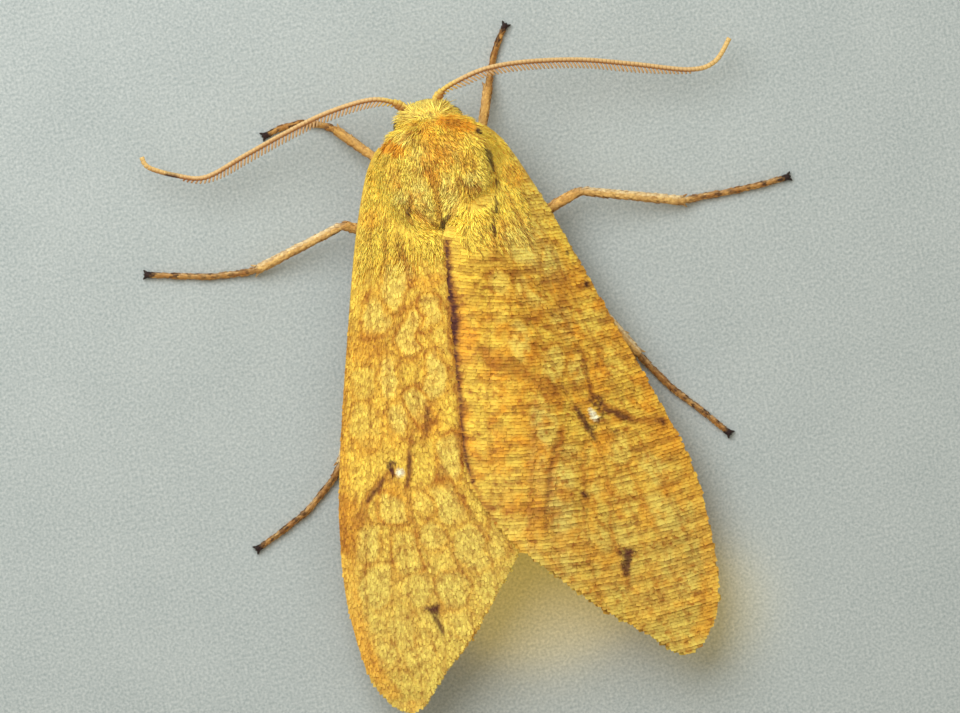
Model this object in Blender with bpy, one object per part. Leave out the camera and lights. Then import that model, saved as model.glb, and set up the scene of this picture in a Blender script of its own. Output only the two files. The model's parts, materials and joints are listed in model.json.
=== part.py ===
"""A yellow tussock moth at rest on a flat surface, life size, as a still model.

Lengths below are in millimetres and are scaled to metres as each mesh is made.
The moth's head points to -Y, its left side is +X and the floor is Z = 0.
A place is written (out, along, up): out from the midline to its own side, along
from the middle of the thorax towards the tail, and up from the floor.
"""

import math

import bmesh
import bpy
from mathutils import Matrix, Vector

MM = 0.001
LEFT, RIGHT = 1, -1
SIDE_NAMES = {LEFT: "left", RIGHT: "right"}

# Parting
CUT = 0.10  # the thin cut between two neighbouring parts

# Wings
WING_THICKNESS = 0.50
WING_LAYER = 0.62  # from one folded wing's middle to the next one's
WING_RIBS, WING_CHORD = 24, 9
RIDGE_HEIGHT = 5.30  # of the lower forewing's middle, over the back of the thorax
RIDGE_START = 3.0
RIDGE_FALL = 0.0042  # the ridge drops by this times the square of the way back
COSTA_HEIGHT = 1.75  # of the front edge along the middle of the wing
COSTA_ROOT_RISE, COSTA_ROOT_REACH = 1.15, 2.5
COSTA_TIP_RISE, TIP_RISE_START, TIP_RISE_END = 0.55, 17.0, 23.0
ROOF_CURVE = 1.7  # over 1, so the roof is flat at its ridge and steeper at its edge
LAP_START, LAP_END = 1.9, 4.4  # the upper wing comes down to its own side between these
WING_TIP_BULGE = 0.62
COSTA = {
    LEFT: [(2.86, -0.55), (3.5, 0.95), (4.36, 3.3), (5.6, 7.4), (6.76, 11.5),
           (7.48, 14.7), (7.82, 17.8), (7.58, 20.9), (6.8, 22.4)],
    RIGHT: [(2.86, -0.55), (3.5, 0.95), (4.35, 3.3), (5.62, 7.4), (6.9, 11.5),
            (7.8, 14.7), (8.06, 17.8), (7.72, 20.9), (6.85, 22.4)],
}
INNER_MARGIN = [(2.84, -0.2), (2.93, 1.3), (2.5, 2.5), (1.55, 3.2), (-0.32, 3.3),
                (-0.7, 6.3), (-1.22, 10.2), (-1.56, 13.2), (-1.12, 14.9), (-0.1, 17.0),
                (2.4, 20.0), (4.1, 21.4), (5.35, 22.5)]
HIND_COSTA = [(2.3, 3.5), (3.6, 6.2), (4.6, 9.6), (5.2, 13.0), (4.9, 15.6), (3.9, 17.1)]
HIND_MARGIN = [(0.2, 3.6), (0.2, 8.0), (0.2, 12.0), (0.5, 14.6), (1.5, 16.3), (2.7, 17.2)]

# Body, each section as (along at its top, tilt, half width, top, bottom)
BODY_SIDES = 20
BODY_FULLNESS = 2.5  # the power of the section's superellipse, 2 is an ellipse
THORAX = [(-1.85, 0.50, 1.90, 4.6, 2.3), (-1.62, 0.43, 2.35, 5.15, 2.0),
          (-1.05, 0.25, 2.65, 5.75, 1.7), (0.0, 0.10, 2.76, 6.15, 1.5),
          (1.2, 0.0, 2.80, 6.30, 1.5), (2.2, 0.0, 2.50, 6.25, 1.6),
          (2.8, 0.0, 1.95, 6.02, 1.8), (3.1, 0.0, 1.30, 5.6, 2.2)]
HEAD = [(-1.8, 0.50, 1.22, 4.30, 1.90), (-2.02, 0.38, 1.32, 4.22, 1.80),
        (-2.32, 0.15, 1.15, 3.95, 1.85), (-2.56, 0.0, 0.85, 3.65, 2.10),
        (-2.68, 0.0, 0.50, 3.35, 2.40)]
ABDOMEN_FRONT, ABDOMEN_END = 3.2, 15.6
ABDOMEN_CUTS = (7.3, 11.4)
ABDOMEN_CLEAR = 1.08  # from the ridge's middle down to the abdomen's top
ABDOMEN_HEIGHT, ABDOMEN_HALF_WIDTH = 3.3, 2.1
ABDOMEN_STEPS = 5

# Eyes, palps and antennae
EYE_RADIUS, EYE_PLACE = 0.50, (1.02, -1.54, 2.75)
PALP = [(0.45, -1.75, 1.9), (0.48, -2.15, 1.5), (0.46, -2.55, 1.62)]
PALP_RADIUS, PALP_TIP_RADIUS = 0.26, 0.25
ANTENNA_SIDES, ANTENNA_STEPS = 8, 18
ANTENNA_RADIUS = 0.25
SCAPE_RADIUS, SCAPE_REACH = 0.30, 0.06  # a thicker base over this share of the length
ANTENNA_CUTS = (6, 12)
ANTENNAE = {
    LEFT: [(0.8, -2.2, 3.1), (1.3, -2.68, 3.3), (2.3, -2.98, 3.35), (4.2, -2.82, 3.0),
           (6.2, -2.34, 2.45), (8.0, -1.81, 1.95), (9.8, -1.29, 1.55), (11.0, -1.62, 1.5),
           (12.1, -2.22, 1.5), (12.3, -2.72, 1.5)],
    RIGHT: [(0.45, -2.2, 3.1), (0.85, -2.68, 3.3), (1.6, -2.97, 3.35), (2.9, -3.22, 3.25),
            (4.6, -3.15, 2.9), (6.9, -2.75, 2.35), (9.1, -2.09, 1.85), (11.4, -1.35, 1.5),
            (12.5, -1.45, 1.4), (13.2, -2.18, 1.4)],
}

# Legs
LEG_SIDES = 8
FEMUR_RADII = (0.30, 0.33, 0.30, 0.27)
TIBIA_RADII = (0.27, 0.31, 0.28, 0.28)
TARSUS_RADIUS, CLAW_RADIUS = 0.26, 0.20
TARSUS_STEPS = 6
LEGS = {  # hip, knee, ankle, then the foot's points on the floor as (out, along)
    ("fore", LEFT): [(0.7, -1.0, 1.35), (2.15, -0.1, 1.55), (3.95, -2.1, 0.42),
                     [(4.5, -2.45), (5.35, -2.72), (6.35, -2.66), (7.2, -2.45)]],
    ("fore", RIGHT): [(0.7, -1.0, 1.35), (2.0, -0.25, 1.5), (2.86, -2.55, 0.42),
                      [(3.05, -3.0), (3.35, -3.75), (3.8, -4.5), (4.26, -5.08)]],
    ("mid", LEFT): [(1.0, 0.8, 1.3), (4.5, 1.98, 1.6), (8.55, 3.05, 0.42),
                    [(9.2, 3.05), (10.6, 2.9), (12.0, 2.55), (13.42, 2.18)]],
    ("mid", RIGHT): [(1.0, 0.8, 1.3), (5.7, 2.72, 1.5), (10.0, 4.08, 0.42),
                     [(10.6, 4.06), (12.0, 4.12), (13.3, 4.12), (14.8, 4.02)]],
    ("hind", LEFT): [(0.9, 2.0, 1.3), (3.9, 6.4, 1.55), (6.85, 12.05, 0.42),
                     [(7.35, 12.6), (8.6, 13.6), (10.0, 14.3), (11.27, 14.83)]],
    ("hind", RIGHT): [(0.9, 2.0, 1.3), (4.2, 5.5, 1.55), (6.7, 10.1, 0.42),
                      [(7.05, 10.7), (7.75, 11.8), (8.7, 12.9), (9.9, 14.4)]],
}

FEMUR_BENDS = {  # where a femur first runs back under the wing, then out
    ("mid", LEFT): (2.7, 2.9, 1.2), ("mid", RIGHT): (2.9, 3.6, 1.25),
    ("hind", RIGHT): (1.5, 4.3, 1.0),
}

FINISHES = {  # base colour, roughness
    "wing_scales": ((0.72, 0.47, 0.10, 1.0), 0.75),
    "body_fur": ((0.80, 0.54, 0.12, 1.0), 0.85),
    "leg_scales": ((0.66, 0.40, 0.12, 1.0), 0.75),
    "antenna_cuticle": ((0.62, 0.36, 0.20, 1.0), 0.65),
    "eye_cornea": ((0.02, 0.015, 0.01, 1.0), 0.15),
}


def clear_scene():
    for thing in list(bpy.data.objects):
        bpy.data.objects.remove(thing, do_unlink=True)


def finish_material(name):
    colour, roughness = FINISHES[name]
    material = bpy.data.materials.get(name)
    if material is None:
        material = bpy.data.materials.new(name)
        material.use_nodes = True
        shader = material.node_tree.nodes["Principled BSDF"]
        shader.inputs["Base Color"].default_value = colour
        shader.inputs["Roughness"].default_value = roughness
        shader.inputs["Metallic"].default_value = 0.0
    return material


def smooth_step(value, start, end):
    share = min(max((value - start) / (end - start), 0.0), 1.0)
    return share * share * (3.0 - 2.0 * share)


def place(side, point):
    """A point's (out, along, up) as X, Y and Z, still in millimetres."""
    out, along, up = point
    return Vector((side * out, along, up))


def curve_through(points, share):
    """The point at a share of the way along a smooth curve through the points."""
    points = [Vector(p) for p in points]
    lengths = [(b - a).length for a, b in zip(points, points[1:])]
    way = share * sum(lengths)
    for index, length in enumerate(lengths):
        if way <= length or index == len(lengths) - 1:
            break
        way -= length
    t = min(way / length, 1.0)
    before, after = points[max(index - 1, 0)], points[min(index + 2, len(points) - 1)]
    a, b = points[index], points[index + 1]
    return 0.5 * ((2 * a) + (b - before) * t + (2 * before - 5 * a + 4 * b - after) * t * t
                  + (3 * a - before - 3 * b + after) * t * t * t)


def make_object(name, mesh, finish):
    bmesh.ops.recalc_face_normals(mesh, faces=mesh.faces)
    mesh.transform(Matrix.Scale(MM, 4))
    data = bpy.data.meshes.new(name)
    mesh.to_mesh(data)
    mesh.free()
    data.shade_smooth()
    data.set_sharp_from_angle(angle=math.radians(40.0))
    data.materials.append(finish_material(finish))
    thing = bpy.data.objects.new(name, data)
    bpy.context.scene.collection.objects.link(thing)
    return thing


def loft(rings):
    """A closed mesh through rings of equal length, with a flat fan over each end."""
    mesh = bmesh.new()
    loops = [[mesh.verts.new(point) for point in ring] for ring in rings]
    for near, far in zip(loops, loops[1:]):
        for i in range(len(near)):
            j = (i + 1) % len(near)
            mesh.faces.new((near[i], near[j], far[j], far[i]))
    for ring in (loops[0], loops[-1]):
        middle = mesh.verts.new(sum((v.co for v in ring), Vector()) / len(ring))
        for i in range(len(ring)):
            mesh.faces.new((ring[i], ring[(i + 1) % len(ring)], middle))
    return mesh


def body_ring(section, grow=0.0):
    """One superellipse section of the head, thorax or abdomen."""
    along, tilt, half_width, top, bottom = section
    middle, half_height = (top + bottom) / 2, (top - bottom) / 2 + grow
    points = []
    for i in range(BODY_SIDES):
        angle = 2 * math.pi * (i + 0.5) / BODY_SIDES
        c, s = math.cos(angle), math.sin(angle)
        x = math.copysign(abs(c) ** (2 / BODY_FULLNESS), c) * (half_width + grow)
        z = middle + math.copysign(abs(s) ** (2 / BODY_FULLNESS), s) * half_height
        points.append(Vector((x, along + tilt * (top - z), z)))
    return points


def body_loft(sections, grow=0.0):
    """Grow widens each section and moves both ends out, which makes a cutter."""
    rings = [body_ring(section, grow) for section in sections]
    forward = 1 if sections[0][0] < sections[-1][0] else -1
    for point in rings[0]:
        point.y -= forward * grow
    for point in rings[-1]:
        point.y += forward * grow
    return loft(rings)


def cutter(name, mesh):
    thing = make_object(name, mesh, "body_fur")
    thing.hide_render = True
    thing.display_type = "WIRE"
    return thing


def part_from(thing, *cutters):
    """Trims a part where it would run into a neighbour, leaving the thin cut."""
    for tool in cutters:
        boolean = thing.modifiers.new("part_from_" + tool.name, "BOOLEAN")
        boolean.operation = "DIFFERENCE"
        boolean.object = tool


def tube(points, radii, sides, start_normal=None, end_normal=None, floor_facet=False):
    """A round limb along the points, mitred at each bend and at its ends' normals."""
    turn = 0.5 if floor_facet else 0.0
    directions = [(b - a).normalized() for a, b in zip(points, points[1:])]
    rings = []
    for i, (centre, radius) in enumerate(zip(points, radii)):
        before = directions[max(i - 1, 0)]
        after = directions[min(i, len(directions) - 1)]
        normal = (before + after).normalized()
        if i == 0 and start_normal is not None:
            normal, after = start_normal, directions[0]
        if i == len(points) - 1 and end_normal is not None:
            normal, before = end_normal, directions[-1]
        along = after if i == 0 else before
        side = along.cross(Vector((0, 0, 1))).normalized()
        up = side.cross(along).normalized()
        ring = []
        for k in range(sides):
            angle = 2 * math.pi * (k + turn) / sides
            point = side * math.cos(angle) * radius + up * math.sin(angle) * radius
            point -= along * (point.dot(normal) / along.dot(normal))
            ring.append(centre + point)
        rings.append(ring)
    return loft(rings)


def ridge(along):
    return RIDGE_HEIGHT - RIDGE_FALL * (along - RIDGE_START) ** 2


def costa_height(along):
    root = COSTA_ROOT_RISE * math.exp(-(along - COSTA[RIGHT][0][1]) / COSTA_ROOT_REACH)
    tip = COSTA_TIP_RISE * smooth_step(along, TIP_RISE_START, TIP_RISE_END)
    return COSTA_HEIGHT + root + tip


def costa_out(along):
    """How far out the front edge lies, by straight runs between its points."""
    edge = COSTA[RIGHT]
    for (out_a, a), (out_b, b) in zip(edge, edge[1:]):
        if along <= b:
            break
    share = min(max((along - a) / (b - a), 0.0), 1.0)
    return out_a + (out_b - out_a) * share


def roof(out, along):
    """Height of the folded wings' lower layer over a place beside the midline."""
    share = min(abs(out) / costa_out(along), 1.15)
    low, high = costa_height(along), ridge(along)
    return low + (high - low) * (1.0 - share ** ROOF_CURVE)


def wing(name, side, costa, margin, height, bulge):
    """A thin plate between a front edge and a rear edge, laid on a height rule."""
    def surface(i, j, lift):
        u, v = i / (WING_RIBS - 1), j / (WING_CHORD - 1)
        front, rear = curve_through(costa, u), curve_through(margin, u)
        out, along = front.lerp(rear, v)
        along += bulge * smooth_step(u, 0.8, 1.0) * math.sin(math.pi * v)
        return Vector((side * out, along, height(out, along) + lift))

    mesh = bmesh.new()
    half = WING_THICKNESS / 2
    layers = [[[mesh.verts.new(surface(i, j, lift)) for j in range(WING_CHORD)]
               for i in range(WING_RIBS)] for lift in (half, -half)]
    for grid in layers:
        for i in range(WING_RIBS - 1):
            for j in range(WING_CHORD - 1):
                mesh.faces.new((grid[i][j], grid[i + 1][j], grid[i + 1][j + 1], grid[i][j + 1]))
    last_rib, last_chord = WING_RIBS - 1, WING_CHORD - 1
    border = [(i, 0) for i in range(last_rib)]
    border += [(last_rib, j) for j in range(last_chord)]
    border += [(i, last_chord) for i in range(last_rib, 0, -1)]
    border += [(0, j) for j in range(last_chord, 0, -1)]
    over, under = layers
    for (i, j), (k, m) in zip(border, border[1:] + border[:1]):
        mesh.faces.new((over[i][j], over[k][m], under[k][m], under[i][j]))
    return make_object(name, mesh, "wing_scales")


def make_wings():
    def lower(out, along):
        return roof(out, along)

    def upper(out, along):
        return roof(out, along) + WING_LAYER * (1.0 - smooth_step(out, LAP_START, LAP_END))

    def hind(out, along):
        return roof(out, along) - WING_LAYER

    wing("forewing_left", LEFT, COSTA[LEFT], INNER_MARGIN, lower, WING_TIP_BULGE)
    wing("forewing_right", RIGHT, COSTA[RIGHT], INNER_MARGIN, upper, WING_TIP_BULGE)
    for side in (LEFT, RIGHT):
        wing("hindwing_" + SIDE_NAMES[side], side, HIND_COSTA, HIND_MARGIN, hind, 0.3)


def abdomen_section(along):
    share = (along - ABDOMEN_FRONT) / (ABDOMEN_END - ABDOMEN_FRONT)
    taper = math.sqrt(max(1.0 - share ** 2.6, 0.04))
    root = 0.82 + 0.18 * smooth_step(share, 0.0, 0.2)
    top = ridge(along) - ABDOMEN_CLEAR - 0.9 * share ** 3
    return (along, 0.0, ABDOMEN_HALF_WIDTH * taper * root, top, top - ABDOMEN_HEIGHT * taper * root)


def make_body():
    make_object("thorax", body_loft(THORAX), "body_fur")
    head = make_object("head", body_loft(HEAD), "body_fur")
    starts = [ABDOMEN_FRONT] + [cut + CUT / 2 for cut in ABDOMEN_CUTS]
    ends = [cut - CUT / 2 for cut in ABDOMEN_CUTS] + [ABDOMEN_END]
    for name, start, end in zip(("front", "middle", "rear"), starts, ends):
        stations = [start + (end - start) * i / ABDOMEN_STEPS for i in range(ABDOMEN_STEPS + 1)]
        sections = [abdomen_section(along) for along in stations]
        make_object("abdomen_" + name, body_loft(sections), "body_fur")
    return head


def eye_ball(side, grow=0.0):
    mesh = bmesh.new()
    bmesh.ops.create_uvsphere(mesh, u_segments=20, v_segments=12, radius=EYE_RADIUS + grow)
    bmesh.ops.rotate(mesh, verts=mesh.verts, matrix=Matrix.Rotation(math.pi / 2, 3, "Y"))
    bmesh.ops.translate(mesh, verts=mesh.verts, vec=place(side, EYE_PLACE))
    return mesh


def make_head_parts(head):
    head_cutter = cutter("head_cutter", body_loft(HEAD, CUT))
    for side, side_name in SIDE_NAMES.items():
        make_object("eye_" + side_name, eye_ball(side), "eye_cornea")
        part_from(head, cutter("eye_cutter_" + side_name, eye_ball(side, CUT * 0.8)))
        palp = tube([place(side, p) for p in PALP],
                    [PALP_RADIUS, PALP_RADIUS, PALP_TIP_RADIUS], LEG_SIDES)
        part_from(make_object("palp_" + side_name, palp, "body_fur"), head_cutter)
        make_antenna(side, head_cutter)


def make_antenna(side, head_cutter):
    """The feeler as one curve, parted into three lengths by flat cuts."""
    route = [place(side, curve_through(ANTENNAE[side], i / ANTENNA_STEPS))
             for i in range(ANTENNA_STEPS + 1)]
    radii = [SCAPE_RADIUS if i / ANTENNA_STEPS <= SCAPE_REACH else ANTENNA_RADIUS
             for i in range(ANTENNA_STEPS + 1)]
    stops = (0,) + ANTENNA_CUTS + (ANTENNA_STEPS,)
    for name, first, last in zip(("base", "middle", "tip"), stops, stops[1:]):
        points, widths = route[first:last + 1], radii[first:last + 1]
        normals = [None, None]
        for end, index in ((0, first), (-1, last)):
            if 0 < index < ANTENNA_STEPS:
                normal = (route[index + 1] - route[index - 1]).normalized()
                inward = 1 if end == 0 else -1
                points[end] = route[index] + normal * inward * CUT / 2
                normals[end] = normal
        thing = make_object("antenna_{}_{}".format(SIDE_NAMES[side], name),
                            tube(points, widths, ANTENNA_SIDES, *normals), "antenna_cuticle")
        if first == 0:
            part_from(thing, head_cutter)


def segment_points(start, end, count):
    return [start.lerp(end, i / (count - 1)) for i in range(count)]


def make_leg(name, side, hip, knee, ankle, foot, trunk_cutter):
    """A femur, a tibia and a foot that lies on the floor along one flat facet."""
    prefix = "{}leg_{}_".format(name, SIDE_NAMES[side])
    hip, knee, ankle = (place(side, p) for p in (hip, knee, ankle))
    facet = math.cos(math.pi / LEG_SIDES)
    toes = [(out, along, 0.0) for out, along in foot]
    first_toe = place(side, toes[0]) + Vector((0, 0, TARSUS_RADIUS * facet))
    bend = hip.lerp(knee, 1 / 3)
    if (name, side) in FEMUR_BENDS:
        bend = place(side, FEMUR_BENDS[name, side])
    knee_normal = ((knee - bend).normalized() + (ankle - knee).normalized()).normalized()
    ankle_normal = ((ankle - knee).normalized() + (first_toe - ankle).normalized()).normalized()
    half = CUT / 2

    femur = [hip, bend, *segment_points(bend, knee - knee_normal * half, 3)[1:]]
    thing = make_object(prefix + "femur", tube(femur, FEMUR_RADII, LEG_SIDES, None, knee_normal),
                        "leg_scales")
    part_from(thing, trunk_cutter)

    tibia = segment_points(knee + knee_normal * half, ankle - ankle_normal * half,
                           len(TIBIA_RADII))
    make_object(prefix + "tibia",
                tube(tibia, TIBIA_RADII, LEG_SIDES, knee_normal, ankle_normal), "leg_scales")

    tarsus, radii = [ankle + ankle_normal * half], [TARSUS_RADIUS]
    for i in range(TARSUS_STEPS + 1):
        share = i / TARSUS_STEPS
        radius = TARSUS_RADIUS + (CLAW_RADIUS - TARSUS_RADIUS) * smooth_step(share, 0.7, 1.0)
        point = place(side, curve_through(toes, share))
        point.z = radius * facet
        tarsus.append(point)
        radii.append(radius)
    make_object(prefix + "tarsus",
                tube(tarsus, radii, LEG_SIDES, ankle_normal, None, True), "leg_scales")


def make_legs():
    trunk_cutter = cutter("thorax_cutter", body_loft(THORAX, CUT))
    for (name, side), (hip, knee, ankle, foot) in LEGS.items():
        make_leg(name, side, hip, knee, ankle, foot, trunk_cutter)


def centre_on_floor():
    """Moves every mesh so that the model's box is centred on the origin's axis."""
    shown = [thing for thing in bpy.data.objects if not thing.hide_render]
    corners = [v.co for thing in shown for v in thing.data.vertices]
    middle = [(min(c[i] for c in corners) + max(c[i] for c in corners)) / 2 for i in (0, 1)]
    floor = min(c.z for c in corners)
    for thing in bpy.data.objects:
        thing.data.transform(Matrix.Translation((-middle[0], -middle[1], -floor)))


def main():
    clear_scene()
    head = make_body()
    make_head_parts(head)
    make_wings()
    make_legs()
    centre_on_floor()


main()
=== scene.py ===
"""A yellow tussock moth at rest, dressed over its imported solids.

Lengths in the size fields are in millimetres. A place on the moth is written
(out, along, up): out from the midline to its own side, along from the middle of
the thorax towards the tail, and up from the floor. Meshes are shaped in those
millimetres, with X to the moth's left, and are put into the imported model's
metres when they are finished.
"""

import itertools
import json
import logging
import math
from dataclasses import dataclass, field
from enum import Enum
from typing import Any, Callable, Sequence

import bpy
import numpy as np
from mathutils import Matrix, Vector
from mathutils.bvhtree import BVHTree

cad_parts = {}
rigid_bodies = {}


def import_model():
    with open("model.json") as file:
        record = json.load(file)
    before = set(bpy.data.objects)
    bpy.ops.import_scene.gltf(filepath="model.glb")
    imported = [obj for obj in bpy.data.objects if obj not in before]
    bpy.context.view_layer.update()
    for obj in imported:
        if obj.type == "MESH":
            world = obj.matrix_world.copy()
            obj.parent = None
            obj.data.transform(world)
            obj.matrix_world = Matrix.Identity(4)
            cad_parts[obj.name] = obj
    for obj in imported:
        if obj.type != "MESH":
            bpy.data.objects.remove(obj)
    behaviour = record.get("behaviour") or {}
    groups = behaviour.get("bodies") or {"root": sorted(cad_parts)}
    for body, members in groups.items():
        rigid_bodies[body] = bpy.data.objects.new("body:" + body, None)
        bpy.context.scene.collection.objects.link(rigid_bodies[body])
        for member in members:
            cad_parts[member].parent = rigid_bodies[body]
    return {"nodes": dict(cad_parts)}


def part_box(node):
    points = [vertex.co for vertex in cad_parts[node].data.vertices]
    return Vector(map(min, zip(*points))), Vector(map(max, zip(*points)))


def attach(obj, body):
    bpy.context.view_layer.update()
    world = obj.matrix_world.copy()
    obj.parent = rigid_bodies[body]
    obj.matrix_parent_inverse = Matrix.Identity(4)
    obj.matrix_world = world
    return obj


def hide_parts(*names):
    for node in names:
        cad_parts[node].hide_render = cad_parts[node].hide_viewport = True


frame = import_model()

LOG = logging.getLogger("moth")
MM = 0.001
SEED = 20261
BAKE_MAP = "OFBake"
PATCH = 0.003
BODY = "root"
NOISE_PRIMES = (73856093, 19349663, 83492791)
NOISE_STEP, NOISE_START, NOISE_MIX, NOISE_HALF = 7919, 17, 1274126177, 32767.5
TINY = 1e-12

Pair = tuple[float, float]
Triple = tuple[float, float, float]
Colour = tuple[float, float, float, float]
Array = np.ndarray
Thing = bpy.types.Object
Material = bpy.types.Material
Random = np.random.Generator


class Side(Enum):
    """The moth's own left and right. The left is at +X."""

    LEFT = 1
    RIGHT = -1

    @property
    def word(self) -> str:
        """The side as it stands in a part's name."""
        return self.name.lower()


class Tone(Enum):
    """The colours that the markings are made of."""

    BROWN = 0
    DARK = 1
    PALE = 2
    ORANGE = 3
    DUST = 4
    WHITE = 5


# ---------------------------------------------------------------- small maths


def ease(value: Array, start: float, end: float) -> Array:
    """Goes smoothly from 0 at start to 1 at end."""
    share = np.clip((np.asarray(value, float) - start) / (end - start), 0.0, 1.0)
    return share * share * (3.0 - 2.0 * share)


def noise(points: Array, size: float, seed: int) -> Array:
    """Smooth noise from -1 to 1 over points of two or three coordinates.

    Args:
        points: One row for each point.
        size: The distance over which the noise changes.
        seed: Picks one pattern of noise.

    Returns:
        One number for each point.
    """
    scaled = np.asarray(points, float) / size
    corner = np.floor(scaled).astype(np.int64)
    share = scaled - corner
    share = share * share * (3.0 - 2.0 * share)
    total = np.zeros(len(scaled))
    for bits in itertools.product((0, 1), repeat=scaled.shape[1]):
        key = np.full(len(scaled), seed * NOISE_STEP + NOISE_START, np.int64)
        weight = np.ones(len(scaled))
        for axis, bit in enumerate(bits):
            key = key ^ ((corner[:, axis] + bit) * NOISE_PRIMES[axis])
            weight = weight * (share[:, axis] if bit else 1.0 - share[:, axis])
        key = (key ^ (key >> 13)) * NOISE_MIX
        key = (key ^ (key >> 16)) & 0xFFFF
        total += weight * (key / NOISE_HALF - 1.0)
    return total


def noise_pair(points: Array, size: float, seed: int) -> Array:
    """Two columns of smooth noise."""
    return rows(noise(points, size, seed), noise(points, size, seed + 1))


def stations(line: Array) -> tuple[Array, Array]:
    """How far along a line each of its points lies, and the lengths between them."""
    lengths = np.linalg.norm(np.diff(line, axis=0), axis=1)
    return np.concatenate(([0.0], np.cumsum(lengths))), lengths


def between(ways: Array, stops: Array, line: Array) -> Array:
    """Places at distances along a line, whose points lie at the stops."""
    return rows(*(np.interp(ways, stops, column) for column in line.T))


def along_edge(edge: Sequence[Pair], along: Array, left: float | None = None) -> Array:
    """How far out an edge of (out, along) points lies at each along."""
    out, stops = np.array(edge).T
    return np.interp(along, stops, out, left=left)


def polyline_distance(places: Array, line: Sequence[Pair]) -> tuple[Array, Array]:
    """The distance of each place from a line of straight runs.

    Args:
        places: One (out, along) row for each place.
        line: The line's points.

    Returns:
        The distances, and the share of the line's length at each nearest point.
    """
    points = np.asarray(line, float)
    starts, lengths = stations(points)
    best = np.full(len(places), 1e9)
    share = np.zeros(len(places))
    for index, length in enumerate(lengths):
        run = points[index + 1] - points[index]
        way = np.clip((places - points[index]) @ run / max(length**2, TINY), 0.0, 1.0)
        gap = np.linalg.norm(places - points[index] - way[:, None] * run, axis=1)
        nearer = gap < best
        best = np.where(nearer, gap, best)
        share = np.where(nearer, (starts[index] + way * length) / starts[-1], share)
    return best, share


def curve_through(points: Sequence[Sequence[float]], shares: Array) -> Array:
    """Places at shares of the way along a smooth curve through the points.

    Args:
        points: The points that the curve passes through.
        shares: Shares of the way, from 0 to 1.

    Returns:
        One row for each share.
    """
    stops = np.asarray(points, float)
    starts, lengths = stations(stops)
    way = np.clip(shares, 0.0, 1.0) * starts[-1]
    index = np.clip(np.searchsorted(starts, way, side="right") - 1, 0, len(lengths) - 1)
    t = ((way - starts[index]) / lengths[index])[:, None]
    last = len(stops) - 1
    before, after = stops[np.maximum(index - 1, 0)], stops[np.minimum(index + 2, last)]
    a, b = stops[index], stops[index + 1]
    cubic = 3.0 * a - before - 3.0 * b + after
    return 0.5 * (2.0 * a + (b - before) * t + (2 * before - 5 * a + 4 * b - after) * t**2 + cubic * t**3)


def inside_outline(places: Array, outline: Array) -> Array:
    """Tells which places lie inside a closed outline.

    Args:
        places: One (out, along) row for each place.
        outline: The outline's corners in order.

    Returns:
        True for each place inside.
    """
    inside = np.zeros(len(places), bool)
    x, y = places[:, 0], places[:, 1]
    for (x_a, y_a), (x_b, y_b) in zip(outline, np.roll(outline, -1, axis=0)):
        crosses = (y_a > y) != (y_b > y)
        rise = y_b - y_a if abs(y_b - y_a) > TINY else TINY
        inside ^= crosses & (x < (x_b - x_a) * (y - y_a) / rise + x_a)
    return inside


def rows(*columns: Any) -> Array:
    """One row for each place, from a column or a number for each coordinate."""
    return np.stack(np.broadcast_arrays(*columns), axis=1)


def unit(vectors: Array) -> Array:
    """The vectors at length one."""
    return vectors / np.maximum(np.linalg.norm(vectors, axis=-1, keepdims=True), TINY)


# ------------------------------------------------------------ the moth's frame


@dataclass(frozen=True)
class BodyFrame:
    """Where the moth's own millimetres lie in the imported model."""

    midline: float
    zero_along: float

    @classmethod
    def from_eyes(cls, eye_along: float) -> "BodyFrame":
        """Finds the frame from the two packed eyes.

        Args:
            eye_along: The along of both eyes' centres.

        Returns:
            The frame.
        """
        middle = Vector((0.0, 0.0, 0.0))
        for side in Side:
            low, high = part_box("eye_" + side.word)
            middle += (low + high) / (2 * len(Side))
        return cls(middle.x / MM, middle.y / MM - eye_along)

    def to_model(self, points: Array) -> Array:
        """Moth millimetres as model metres."""
        return (np.asarray(points, float) + (self.midline, self.zero_along, 0.0)) * MM

    def to_moth(self, points: Array) -> Array:
        """Model metres as moth millimetres."""
        return np.asarray(points, float) / MM - (self.midline, self.zero_along, 0.0)


# --------------------------------------------------------------- mesh helpers


def points_of(thing: Thing) -> Array:
    """One row of coordinates for each of an object's vertices."""
    flat = np.zeros(len(thing.data.vertices) * 3, np.float32)
    thing.data.vertices.foreach_get("co", flat)
    return flat.reshape(-1, 3).astype(float)


def set_points(thing: Thing, points: Array) -> None:
    """Puts new coordinates on an object's vertices.

    Args:
        thing: The object.
        points: One row for each vertex.
    """
    thing.data.vertices.foreach_set("co", np.asarray(points, np.float32).ravel())
    thing.data.update()


def mesh_object(name: str, points: Array, faces: Array) -> Thing:
    """A new object from arrays of points and of equal-sided faces.

    Args:
        name: The object's name.
        points: One row for each vertex.
        faces: One row of vertex numbers for each face.

    Returns:
        The object, linked to the scene.
    """
    data = bpy.data.meshes.new(name)
    faces = np.asarray(faces, np.int32)
    corners = faces.shape[1]
    data.vertices.add(len(points))
    data.vertices.foreach_set("co", np.asarray(points, np.float32).ravel())
    data.loops.add(faces.size)
    data.loops.foreach_set("vertex_index", faces.ravel())
    data.polygons.add(len(faces))
    data.polygons.foreach_set("loop_start", np.arange(len(faces), dtype=np.int32) * corners)
    data.update(calc_edges=True)
    thing = bpy.data.objects.new(name, data)
    bpy.context.scene.collection.objects.link(thing)
    return thing


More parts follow.
